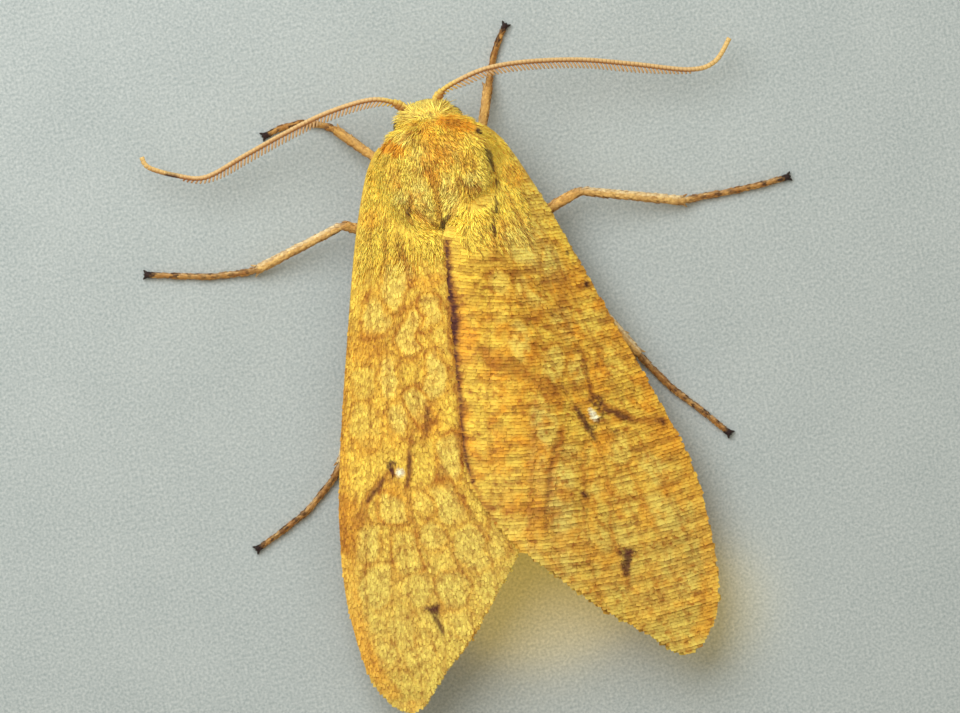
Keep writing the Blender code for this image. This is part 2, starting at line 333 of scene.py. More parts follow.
def set_marks(thing: Thing, marks: Array, shade: Array) -> None:
    """Stores the markings on an object's vertices, for its material to read.

    Args:
        thing: The object.
        marks: One column for each Tone.
        shade: A lighter or darker cast for each vertex, from -1 to 1.
    """
    packs = {
        "marks": marks[:, [Tone.BROWN.value, Tone.DARK.value, Tone.PALE.value]],
        "casts": marks[:, [Tone.ORANGE.value, Tone.DUST.value, Tone.WHITE.value]],
        "shade": np.repeat(np.clip(shade, -1.0, 1.0)[:, None] * 0.5 + 0.5, 3, axis=1),
    }
    for name, values in packs.items():
        layer = thing.data.attributes.new(name, "FLOAT_COLOR", "POINT")
        full = np.concatenate([values, np.ones((len(values), 1))], axis=1)
        layer.data.foreach_set("color", np.asarray(full, np.float32).ravel())


def join_objects(pieces: Sequence[Thing], name: str) -> Thing:
    """Joins pieces into one.

    Args:
        pieces: The pieces.
        name: The name of the whole.

    Returns:
        The whole.
    """
    make_active(pieces[0])
    for piece in pieces[1:]:
        piece.select_set(True)
    if len(pieces) > 1:
        bpy.ops.object.join()
    pieces[0].name = name
    return pieces[0]


def deselect_all() -> None:
    """Leaves nothing selected."""
    for thing in bpy.context.view_layer.objects:
        thing.select_set(False)


def make_active(thing: Thing) -> None:
    """Selects one object alone and makes it the active one."""
    deselect_all()
    thing.select_set(True)
    bpy.context.view_layer.objects.active = thing


class Workpiece:
    """An object that is being shaped with Blender's own tools."""

    def __init__(self, name: str, add: Callable[..., Any], **sizes: Any) -> None:
        """Adds the primitive that the piece starts from.

        Args:
            name: The object's name.
            add: The operator that adds the primitive.
            **sizes: The operator's own sizes.
        """
        deselect_all()
        add(**sizes)
        self.thing = bpy.context.active_object
        self.thing.name = name

    @classmethod
    def ring(cls, name: str, corners: int, radius: float) -> "Workpiece":
        """A filled ring round the Y axis, picked and ready to be drawn out."""
        piece = cls(name, bpy.ops.mesh.primitive_circle_add, vertices=corners, radius=radius,
                    fill_type="NGON", rotation=(math.pi / 2, 0.0, 0.0))
        bpy.ops.object.transform_apply(location=True, rotation=True, scale=True)
        return piece.pick(lambda co: True)

    def pick(self, test: Callable[[Vector], bool]) -> "Workpiece":
        """Selects the vertices that pass a test, and what they bound.

        Args:
            test: Tells from a vertex's place whether it is picked.

        Returns:
            The same piece, in edit mode.
        """
        bpy.ops.object.mode_set(mode="EDIT")
        bpy.ops.mesh.select_mode(type="VERT")
        bpy.ops.mesh.select_all(action="DESELECT")
        bpy.ops.object.mode_set(mode="OBJECT")
        for vertex in self.thing.data.vertices:
            vertex.select = test(vertex.co)
        bpy.ops.object.mode_set(mode="EDIT")
        return self

    def move(self, x: float, y: float, z: float) -> "Workpiece":
        """Moves what is picked."""
        bpy.ops.transform.translate(value=(x, y, z))
        return self

    def resize(self, x: float, y: float, z: float, centre: Triple = (0, 0, 0)) -> "Workpiece":
        """Resizes what is picked about a centre."""
        bpy.ops.transform.resize(value=(x, y, z), center_override=centre)
        return self

    def extrude(self, x: float, y: float, z: float) -> "Workpiece":
        """Draws what is picked out into a new length."""
        bpy.ops.mesh.extrude_region_move(TRANSFORM_OT_translate={"value": (x, y, z)})
        return self

    def draw_out(self, steps: Sequence[Triple]) -> "Workpiece":
        """Draws a ring out through steps of (along, up, shrink)."""
        last = (0.0, 0.0)
        for along, up, shrink in steps:
            self.extrude(0.0, along - last[0], up - last[1])
            self.resize(shrink, 1.0, shrink, (0.0, along, up))
            last = (along, up)
        return self

    def close(self) -> "Workpiece":
        """Draws what is picked to one point."""
        bpy.ops.mesh.merge(type="CENTER")
        return self

    def cut(self, cuts: int) -> "Workpiece":
        """Subdivides the picked edges."""
        bpy.ops.mesh.subdivide(number_cuts=cuts)
        return self

    def fill(self) -> "Workpiece":
        """Closes the picked edges with a face."""
        bpy.ops.mesh.edge_face_add()
        return self

    def finish(self, triangles: bool = False) -> Thing:
        """Turns the faces outward and leaves edit mode.

        Args:
            triangles: Whether every face becomes triangles.

        Returns:
            The object.
        """
        bpy.ops.object.mode_set(mode="EDIT")
        bpy.ops.mesh.select_all(action="SELECT")
        bpy.ops.mesh.normals_make_consistent(inside=False)
        if triangles:
            bpy.ops.mesh.quads_convert_to_tris()
        bpy.ops.object.mode_set(mode="OBJECT")
        return self.thing


def apply_modifier(thing: Thing, kind: str, **settings: Any) -> None:
    """Adds a modifier and applies it.

    Args:
        thing: The object.
        kind: The modifier's type.
        **settings: The modifier's own settings.
    """
    make_active(thing)
    modifier = thing.modifiers.new(kind.lower(), kind)
    for key, value in settings.items():
        setattr(modifier, key, value)
    bpy.ops.object.modifier_apply(modifier=modifier.name)


@dataclass
class Template:
    """One small shape that is repeated many times, with its root at the origin."""

    points: Array
    faces: Array

    @classmethod
    def taken_from(cls, thing: Thing) -> "Template":
        """Reads a triangulated object into a template, and removes the object."""
        points = points_of(thing)
        faces = np.array([list(face.vertices) for face in thing.data.polygons], np.int32)
        bpy.data.objects.remove(thing, do_unlink=True)
        return cls(points, faces)

    @property
    def plan(self) -> Array:
        """Each vertex's place in the template's own flat plan, from 0 to 1."""
        flat = self.points[:, :2] - self.points[:, :2].min(axis=0)
        return flat / max(flat.max(), 1e-9)

    @property
    def reach(self) -> Array:
        """How far from its root to its tip each vertex lies, from -1 to 1."""
        return 2.0 * self.points[:, 1] / self.points[:, 1].max() - 1.0

    def copied(self, roots: Array, across: Array, ahead: Array, up: Array,
               sizes: Array) -> tuple[Array, Array]:
        """Copies the shape to many roots.

        Args:
            roots: Where each copy is rooted.
            across: The direction of each copy's X.
            ahead: The direction of each copy's Y.
            up: The direction of each copy's Z.
            sizes: Each copy's width, length and height.

        Returns:
            The points and the faces of all the copies.
        """
        local = self.points[None] * sizes[:, None]
        points = (roots[:, None] + local[:, :, :1] * across[:, None]
                  + local[:, :, 1:2] * ahead[:, None] + local[:, :, 2:] * up[:, None])
        steps = (np.arange(len(roots)) * len(self.points))[:, None, None]
        return points.reshape(-1, 3), (self.faces[None] + steps).reshape(-1, 3)


@dataclass
class Coat:
    """Many copies of a template laid over a surface, joined in one mesh."""

    roots: Array
    lie: Array
    normal: Array
    sizes: Array
    chart: Array
    paint: Callable[[Array], Array]
    shade: Array
    tip_light: float = 0.0
    whole: bool = False

    def build(self, name: str, template: Template, lift: Array) -> Thing:
        """Lays the copies.

        Args:
            name: The piece's name.
            template: The shape that is repeated.
            lift: How far each copy stands off the surface, in radians.

        Returns:
            The piece, still in moth millimetres.
        """
        up = unit(self.normal)
        ahead = unit(self.lie - up * np.sum(self.lie * up, axis=1, keepdims=True))
        c, s = np.cos(lift)[:, None], np.sin(lift)[:, None]
        points, faces = template.copied(self.roots, np.cross(ahead, up), ahead * c + up * s,
                                        up * c - ahead * s, self.sizes)
        thing = mesh_object(name, points, faces)
        # Painted shade and light: each copy is darker at its root, which lies under the copies before it,
        # and lighter at its tip.
        shade = self.shade[:, None] + self.tip_light * template.reach[None]
        if self.whole:
            corners = len(template.points)
            far = points.reshape(-1, corners, 3)[:, template.reach > 0.0].mean(axis=1)
            marks = np.repeat(self.paint(far), corners, axis=0)
        else:
            marks = self.paint(points)
        set_marks(thing, marks, shade.ravel())
        self._add_bake_map(thing, template)
        return thing

    def _add_bake_map(self, thing: Thing, template: Template) -> None:
        """Gives each copy a small patch at its root's place on the chart."""
        corner_plan = template.plan[template.faces.ravel()] - 0.5
        places = 0.01 + 0.98 * np.clip(self.chart, 0.0, 1.0)
        patches = places[:, None, :] + corner_plan[None] * PATCH
        layer = thing.data.uv_layers.new(name=BAKE_MAP)
        layer.data.foreach_set("uv", np.asarray(patches, np.float32).ravel())


@dataclass(frozen=True)
class Look:
    """A material, with the record's finish that it stands for."""

    material: Material
    slot: str


@dataclass
class Bench:
    """Holds the finishes and the repeated shapes, and finishes pieces with them."""

    place: BodyFrame
    wing: Look
    fur: Look
    leg: Look
    horn: Look
    feeler: Look
    cornea: Look
    scale: Template
    fringe_hair: Template
    fur_hair: Template
    made: list[str] = field(default_factory=list)

    def finish(self, thing: Thing, look: Look, replaces: Sequence[str] = (), smooth: bool = True) -> Thing:
        """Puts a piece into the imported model's metres and onto its body.

        Args:
            thing: The piece, in moth millimetres.
            look: Its finish.
            replaces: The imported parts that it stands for.
            smooth: Whether its faces are shaded smooth.

        Returns:
            The finished piece.
        """
        set_points(thing, self.place.to_model(points_of(thing)))
        flags = np.full(len(thing.data.polygons), smooth)
        thing.data.polygons.foreach_set("use_smooth", flags)
        thing.data.materials.clear()
        thing.data.materials.append(look.material)
        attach(thing, BODY)
        if replaces:
            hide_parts(*replaces)
        self.made.append(thing.name)
        LOG.info("%s: %d faces", thing.name, len(thing.data.polygons))
        return thing


# ------------------------------------------------------------------- finishes


class Sock:
    """A value in a material, which plain arithmetic turns into Math nodes."""

    def __init__(self, desk: "Desk", socket: bpy.types.NodeSocket) -> None:
        """Wraps a socket of one material's nodes."""
        self.desk = desk
        self.socket = socket

    def _math(self, operation: str, first: Any, second: Any) -> "Sock":
        """A Math node on two values."""
        return self.desk.add("ShaderNodeMath", {"operation": operation}, {0: first, 1: second})

    def __add__(self, other: Any) -> "Sock":
        """The sum."""
        return self._math("ADD", self, other)

    def __sub__(self, other: Any) -> "Sock":
        """The difference."""
        return self._math("SUBTRACT", self, other)

    def __rsub__(self, other: Any) -> "Sock":
        """The difference, with the number first."""
        return self._math("SUBTRACT", other, self)

    def __mul__(self, other: Any) -> "Sock":
        """The product."""
        return self._math("MULTIPLY", self, other)

    def __pow__(self, other: Any) -> "Sock":
        """The power."""
        return self._math("POWER", self, other)

    __radd__ = __add__
    __rmul__ = __mul__

    def limited(self) -> "Sock":
        """The value held from 0 to 1."""
        return self.desk.add("ShaderNodeClamp", {}, {0: self})


class Desk:
    """Lays out the nodes of one material."""

    def __init__(self, name: str) -> None:
        """Starts a material with a Principled shader and its output."""
        self.material = bpy.data.materials.new(name)
        self.material.use_nodes = True
        self.tree = self.material.node_tree
        self.shader = self.tree.nodes["Principled BSDF"]

    def add(self, kind: str, settings: dict[str, Any], sockets: dict[Any, Any],
            output: int | str = 0) -> Sock:
        """Adds any node.

        Args:
            kind: The node's type.
            settings: Its settings.
            sockets: Values or links for its inputs, by name or number.
            output: The output that is used.

        Returns:
            The output, wrapped.
        """
        node = self.tree.nodes.new(kind)
        for key, value in settings.items():
            setattr(node, key, value)
        for key, value in sockets.items():
            self.feed(node.inputs[key], value)
        return Sock(self, node.outputs[output])

    def feed(self, socket: bpy.types.NodeSocket, value: Any) -> None:
        """Links or sets one input."""
        if isinstance(value, Sock):
            self.tree.links.new(value.socket, socket)
        else:
            socket.default_value = value

    def colour_mix(self, first: Any, second: Any, share: Any, blend: str = "MIX") -> Sock:
        """Mixes two colours by a share."""
        settings = {"data_type": "RGBA", "blend_type": blend}
        return self.add("ShaderNodeMix", settings, {0: share, 6: first, 7: second}, output=2)

    def attribute(self, name: str) -> tuple[Sock, Sock, Sock]:
        """The three numbers of an attribute."""
        node = self.add("ShaderNodeAttribute", {"attribute_name": name}, {})
        split = self.add("ShaderNodeSeparateColor", {}, {0: node}).socket.node
        return tuple(Sock(self, split.outputs[index]) for index in range(3))

    def coordinates(self, scale: Triple) -> Sock:
        """The piece's own coordinates, so many steps to the metre."""
        place = self.add("ShaderNodeTexCoord", {}, {}, output="Object")
        return self.add("ShaderNodeMapping", {}, {"Vector": place, "Scale": scale})

    def noise(self, per_mm: float, detail: float = 2.0, stretch: Triple = (1, 1, 1)) -> Sock:
        """Noise from 0 to 1, so many patches to the millimetre."""
        scale = tuple(per_mm / MM * axis for axis in stretch)
        return self.add("ShaderNodeTexNoise", {},
                        {"Vector": self.coordinates(scale), "Scale": 1.0, "Detail": detail})

    def bump(self, height: Sock, strength: float, distance: float) -> Sock:
        """A bump from a height, with its depth in millimetres."""
        return self.add("ShaderNodeBump", {}, {"Height": height, "Strength": strength,
                                               "Distance": distance * MM})

    def surface(self, **sockets: Any) -> Material:
        """Sets the shader's inputs, named with underscores for spaces."""
        for key, value in sockets.items():
            self.feed(self.shader.inputs[key.replace("_", " ")], value)
        return self.material


@dataclass(frozen=True)
class Palette:
    """The colours of a marked surface, one for each tone, over its ground colour."""

    ground: Colour
    brown: Colour
    dark: Colour
    pale: Colour
    orange: Colour
    dust: Colour
    white: Colour


WING_PALETTE = Palette(ground=(0.95, 0.605, 0.060, 1), brown=(0.46, 0.15, 0.010, 1),
                       dark=(0.085, 0.014, 0.008, 1), pale=(0.93, 0.71, 0.15, 1),
                       orange=(0.86, 0.36, 0.020, 1), dust=(0.60, 0.47, 0.12, 1),
                       white=(0.95, 0.86, 0.60, 1))
# The fur's own gold, a lighter copy of the wing's colours: partly painted light that makes up for the shade
# between the hairs.
FUR_PALETTE = Palette(ground=(1.0, 0.67, 0.066, 1), brown=(0.52, 0.17, 0.012, 1),
                      dark=(0.07, 0.014, 0.008, 1), pale=(1.0, 0.76, 0.16, 1),
                      orange=(0.98, 0.42, 0.022, 1), dust=(0.80, 0.60, 0.16, 1),
                      white=(1.0, 0.84, 0.34, 1))
LEG_PALETTE = Palette(ground=(0.84, 0.52, 0.17, 1), brown=(0.36, 0.13, 0.022, 1),
                      dark=(0.030, 0.010, 0.007, 1), pale=(0.96, 0.76, 0.42, 1),
                      orange=(0.80, 0.40, 0.07, 1), dust=(0.45, 0.36, 0.22, 1),
                      white=(0.92, 0.80, 0.58, 1))
ANTENNA_PALETTE = Palette(ground=(0.80, 0.50, 0.20, 1), brown=(0.40, 0.13, 0.035, 1),
                          dark=(0.05, 0.015, 0.012, 1), pale=(0.98, 0.78, 0.55, 1),
                          orange=(0.92, 0.58, 0.16, 1), dust=(1.0, 0.74, 0.13, 1),
                          white=(1.0, 0.86, 0.70, 1))


@dataclass(frozen=True)
class MarkedFinish:
    """A matt, finely varied finish that shows a piece's own markings."""

    name: str
    palette: Palette
    roughness: float = 0.62
    sheen: float = 0.06
    grain_per_mm: float = 7.0
    shade_depth: float = 0.34
    grain_depth: float = 0.7
    bump_depth: float = 0.02
    lighten: float = 0.0

    def make(self) -> Material:
        """Builds the material."""
        desk = Desk(self.name)
        brown, dark, pale = desk.attribute("marks")
        orange, dust, white = desk.attribute("casts")
        shade = desk.attribute("shade")[0]
        grain = desk.noise(self.grain_per_mm, 3.0)
        patches = desk.noise(0.9, 3.0)
        colour: Any = self.palette.ground
        colour = desk.colour_mix(colour, self.palette.orange, (patches * 1.7 - 0.62).limited() * 0.15)
        layers = ((self.palette.pale, pale), (self.palette.dust, dust),
                  (self.palette.orange, orange), (self.palette.brown, brown),
                  (self.palette.dark, dark), (self.palette.white, white))
        for tone, share in layers:
            colour = desk.colour_mix(colour, tone, share)
        cast = (shade - 0.5) * 2.0 * self.shade_depth + (grain - 0.5) * self.grain_depth
        # Painted light: the colour is lifted evenly, to make up for the shade that falls between the hairs.
        cast = cast + self.lighten
        warm = desk.add("ShaderNodeCombineColor", {},
                        {0: 1.0 + cast * 0.8, 1: 1.0 + cast * 1.08, 2: 1.0 + cast * 1.2})
        colour = desk.colour_mix(colour, warm, 1.0, blend="MULTIPLY")
        rough = (self.roughness + (grain - 0.5) * 0.2 + dark * 0.05).limited()
        return desk.surface(Base_Color=colour, Roughness=rough, Sheen_Weight=self.sheen,
                            Sheen_Roughness=0.5, Specular_IOR_Level=0.32,
                            Normal=desk.bump(grain, 0.5, self.bump_depth))


@dataclass(frozen=True)
class EyeFinish:
    """Near-black glossy cornea, with the fine facets of a compound eye."""

    facets_per_mm: float = 26.0

    def make(self) -> Material:
        """Builds the material."""
        desk = Desk("eye_cornea_facets")
        cells = desk.add("ShaderNodeTexVoronoi", {"feature": "DISTANCE_TO_EDGE"},
                         {"Vector": desk.coordinates((self.facets_per_mm / MM,) * 3), "Scale": 1.0})
        cloud = desk.noise(2.2, 2.0)
        colour = desk.colour_mix((0.012, 0.007, 0.005, 1), (0.055, 0.030, 0.018, 1), cloud)
        return desk.surface(Base_Color=colour, Roughness=0.16 + (cloud - 0.5) * 0.1,
                            Coat_Weight=0.4, Normal=desk.bump(cells, 0.35, 0.006))


@dataclass(frozen=True)
class ClawFinish:
    """Black-brown horn that is smooth and a little worn at the tips."""

    def make(self) -> Material:
        """Builds the material."""
        desk = Desk("claw_horn")
        grain = desk.noise(16.0, 2.0, (1, 1, 0.4))
        colour = desk.colour_mix((0.012, 0.006, 0.004, 1), (0.09, 0.035, 0.015, 1), grain ** 3.0)
        return desk.surface(Base_Color=colour, Roughness=0.26 + grain * 0.2,
                            Normal=desk.bump(grain, 0.3, 0.004))


@dataclass(frozen=True)
class FloorFinish:
    """A pale, slightly cool matt board with a very fine tooth."""

    ground: Colour = (0.68, 0.705, 0.67, 1)
    deep: Colour = (0.34, 0.39, 0.38, 1)

    def make(self) -> Material:
        """Builds the material."""
        desk = Desk("pale_board")
        tooth = desk.noise(8.5, 3.0)
        cloud = desk.noise(0.25, 2.0)
        mixed = (tooth - 0.5) * 1.6 + 0.36 + cloud * 0.24
        colour = desk.colour_mix(self.ground, self.deep, mixed.limited())
        return desk.surface(Base_Color=colour, Roughness=0.75 + tooth * 0.15,
                            Specular_IOR_Level=0.25, Normal=desk.bump(tooth, 0.3, 0.02))


# ------------------------------------------------------------------- markings


@dataclass(frozen=True)
class Stroke:
    """A line of colour on a surface.

    Attributes:
        tone: Its colour.
        line: Its points as (out, along).
        widths: Its widths at even steps of its length.
        strength: Its depth of colour, up to 1.
        soft: The width of its soft edge.
        broken: How much its width varies.
    """

    tone: Tone
    line: tuple[Pair, ...]
    widths: tuple[float, ...] = (0.10,)
    strength: float = 0.8
    soft: float = 0.10
    broken: float = 0.45

    def share(self, places: Array) -> Array:
        """The stroke's depth at each place."""
        line = np.asarray(self.line)
        reach = 1.3 * max(self.widths) + self.soft
        close = np.all((places > line.min(axis=0) - reach) & (places < line.max(axis=0) + reach), axis=1)
        spots = places[close]
        gap, way = polyline_distance(spots, self.line)
        half = np.interp(way, np.linspace(0.0, 1.0, len(self.widths)), self.widths) / 2
        half = half * (1.0 + self.broken * noise(spots, 0.16, 5))
        grain = 1.0 - 0.75 * self.broken * np.maximum(noise(spots, 0.09, 7), 0.0)
        depth = np.zeros(len(places))
        depth[close] = self.strength * grain * (1.0 - ease(gap, half, half + self.soft))
        return depth


@dataclass(frozen=True)
class Blot:
    """A soft patch of colour, oval and broken by noise.

    Attributes:
        tone: Its colour.
        centre: Its middle as (out, along).
        half: Half its width and half its length.
        turn: How far its long way leans outward, in degrees.
        strength: Its depth of colour.
        soft: The share of its size over which it fades.
        broken: How much noise breaks it.
        square: How squarely it is rounded.
    """

    tone: Tone
    centre: Pair
    half: Pair
    turn: float = 0.0
    strength: float = 0.7
    soft: float = 0.4
    broken: float = 0.5
    square: float = 2.7

    def reach(self, places: Array) -> Array:
        """How far out each place is, where 1 is the patch's edge."""
        c, s = math.cos(math.radians(self.turn)), math.sin(math.radians(self.turn))
        away = places - self.centre
        across = (away[:, 0] * c - away[:, 1] * s) / self.half[0]
        length = (away[:, 0] * s + away[:, 1] * c) / self.half[1]
        return (np.abs(across) ** self.square + np.abs(length) ** self.square) ** (1 / self.square)

    def share(self, places: Array) -> Array:
        """The patch's depth at each place."""
        grain = 0.5 + 0.5 * noise(places, 0.22, 11)
        depth = 1.0 - ease(self.reach(places), 1.0 - self.soft, 1.0 + self.soft)
        return self.strength * depth * (1.0 - self.broken * grain)


@dataclass(frozen=True)
class Cell:
    """A pale cell between the veins, with a browner rim.

    Attributes:
        centre: Its middle as (out, along).
        half: Half its width and half its length.
        turn: How far its long way leans outward, in degrees.
        pale: How pale its middle is.
        rim: How brown its rim is.
    """

    centre: Pair
    half: Pair
    turn: float = 0.0
    pale: float = 0.8
    rim: float = 0.5

    def reach(self, places: Array) -> Array:
        """How far out each place is, where 1 is the cell's edge."""
        return Blot(Tone.PALE, self.centre, self.half, self.turn).reach(places) / 1.22


def bare(count: int) -> Array:
    """Markings of no colour, with one row for each place."""
    return np.zeros((count, len(Tone)))


def lay(marks: Array, tone: Tone, share: Array | float) -> None:
    """Lays one more share of a tone over the markings."""
    column = marks[:, tone.value]
    marks[:, tone.value] = 1.0 - (1.0 - column) * (1.0 - np.clip(share, 0.0, 1.0))


B, D, P, G, U, W = (Tone.BROWN, Tone.DARK, Tone.PALE, Tone.ORANGE, Tone.DUST, Tone.WHITE)
VEINS: tuple[tuple[Pair, ...], ...] = (
    ((3.2, 1.8), (4, 5), (4.85, 9), (5.6, 12.4), (6.5, 15.6), (7.1, 18.4), (7.35, 20.6)),
    ((4.6, 12.4), (5.35, 15.2), (5.95, 18.4), (6.35, 22.2)),
    ((4.5, 12.7), (4.85, 15.6), (5.15, 18.6), (5.5, 22.6)),
    ((4.1, 13.4), (4.2, 14.7), (4.17, 15.7), (3.96, 16.8), (3.95, 18.3), (4.05, 20), (4.4, 21.9)),
    ((3.6, 13.4), (3.17, 14.9), (3.05, 15.6), (2.83, 16.6), (2.7, 18.2), (2.75, 20.2)),
    ((3.2, 11.8), (2.6, 13), (2.1, 14.1), (1.6, 15.6), (1.35, 17), (1.45, 18.8)),
    ((2.35, 9.8), (1.65, 12), (1.1, 14), (0.6, 16), (0.35, 17.3)),
    ((2.15, 2.7), (2.3, 5), (2.6, 8), (3.1, 10.5), (3.6, 12.1), (4.1, 13.4)),
    ((2.7, 2.2), (3.5, 6.2), (4.22, 9.8), (4.42, 11.8)),
    ((1.95, 2.9), (1.4, 5), (0.5, 8), (-0.2, 11), (-0.5, 13.5), (-0.4, 15.8)),
)
CELLS: tuple[Cell, ...] = tuple(Cell(*row) for row in (
    ((2.85, 5), (0.48, 1), 28, 0.8, 0.5), ((3.95, 6.1), (0.5, 0.82), 12, 0.8, 0.6),
    ((2.68, 7.1), (0.42, 0.92), 25, 0.75, 0.7), ((1.68, 6.5), (0.4, 0.62), 10, 0.6, 0.6),
    ((1.5, 7.8), (0.3, 0.62), -8, 0.3, 0.4), ((1.95, 9), (0.5, 0.95), 0, 0.85, 0.6),
    ((3.85, 8.85), (0.36, 0.86), 5, 0.85, 0.5), ((4.02, 10.6), (0.34, 0.84), 10, 0.85, 0.5),
    ((2.95, 10.2), (0.5, 0.62), -10, 0.7, 0.7), ((5.05, 8.8), (0.55, 0.62), 12, 0.3, 0.45),
    ((5.3, 10.6), (0.6, 0.8), 12, 0.3, 0.45), ((2.12, 12.8), (0.5, 0.98), 14, 0.75, 0.7),
    ((4.98, 14.25), (0.62, 0.56), 8, 0.6, 0.8), ((6.38, 15.4), (0.44, 0.72), 22, 0.9, 0.5),
    ((2.62, 14.6), (0.5, 1), -15, 0.85, 0.6), ((3.62, 14.3), (0.28, 0.56), -12, 0.4, 0.5),
    ((3.6, 15.7), (0.42, 0.62), -5, 0.65, 0.6), ((2.05, 16.6), (0.62, 0.86), -18, 0.8, 0.5),
    ((0.9, 16.55), (0.36, 0.76), -8, 0.55, 0.4), ((4.95, 16.2), (0.55, 0.85), 6, 0.4, 0.6),
    ((3.28, 18.1), (0.68, 0.72), 0, 0.75, 0.65), ((6.38, 17.35), (0.62, 0.82), 8, 0.85, 0.4),
    ((4.72, 17.8), (0.5, 0.62), 5, 0.55, 0.5), ((1.65, 18.4), (0.55, 0.72), -10, 0.4, 0.3),
    ((5.7, 19.4), (0.62, 0.7), 5, 0.55, 0.4), ((5.3, 20.9), (0.55, 0.62), 5, 0.45, 0.35),
    ((3.1, 19.6), (0.55, 0.5), -15, 0.4, 0.3), ((6.55, 20.3), (0.42, 0.7), 5, 0.4, 0.3),
))
SEAM: tuple[Pair, ...] = (
    (-0.3, 3.65), (-0.44, 4.4), (-0.58, 5.2), (-0.68, 6.1), (-0.76, 6.9), (-0.88, 7.7), (-1.02, 8.6),
    (-1.15, 9.75), (-1.26, 10.7), (-1.42, 11.5), (-1.5, 12.5), (-1.46, 13.3), (-1.4, 13.9),
)
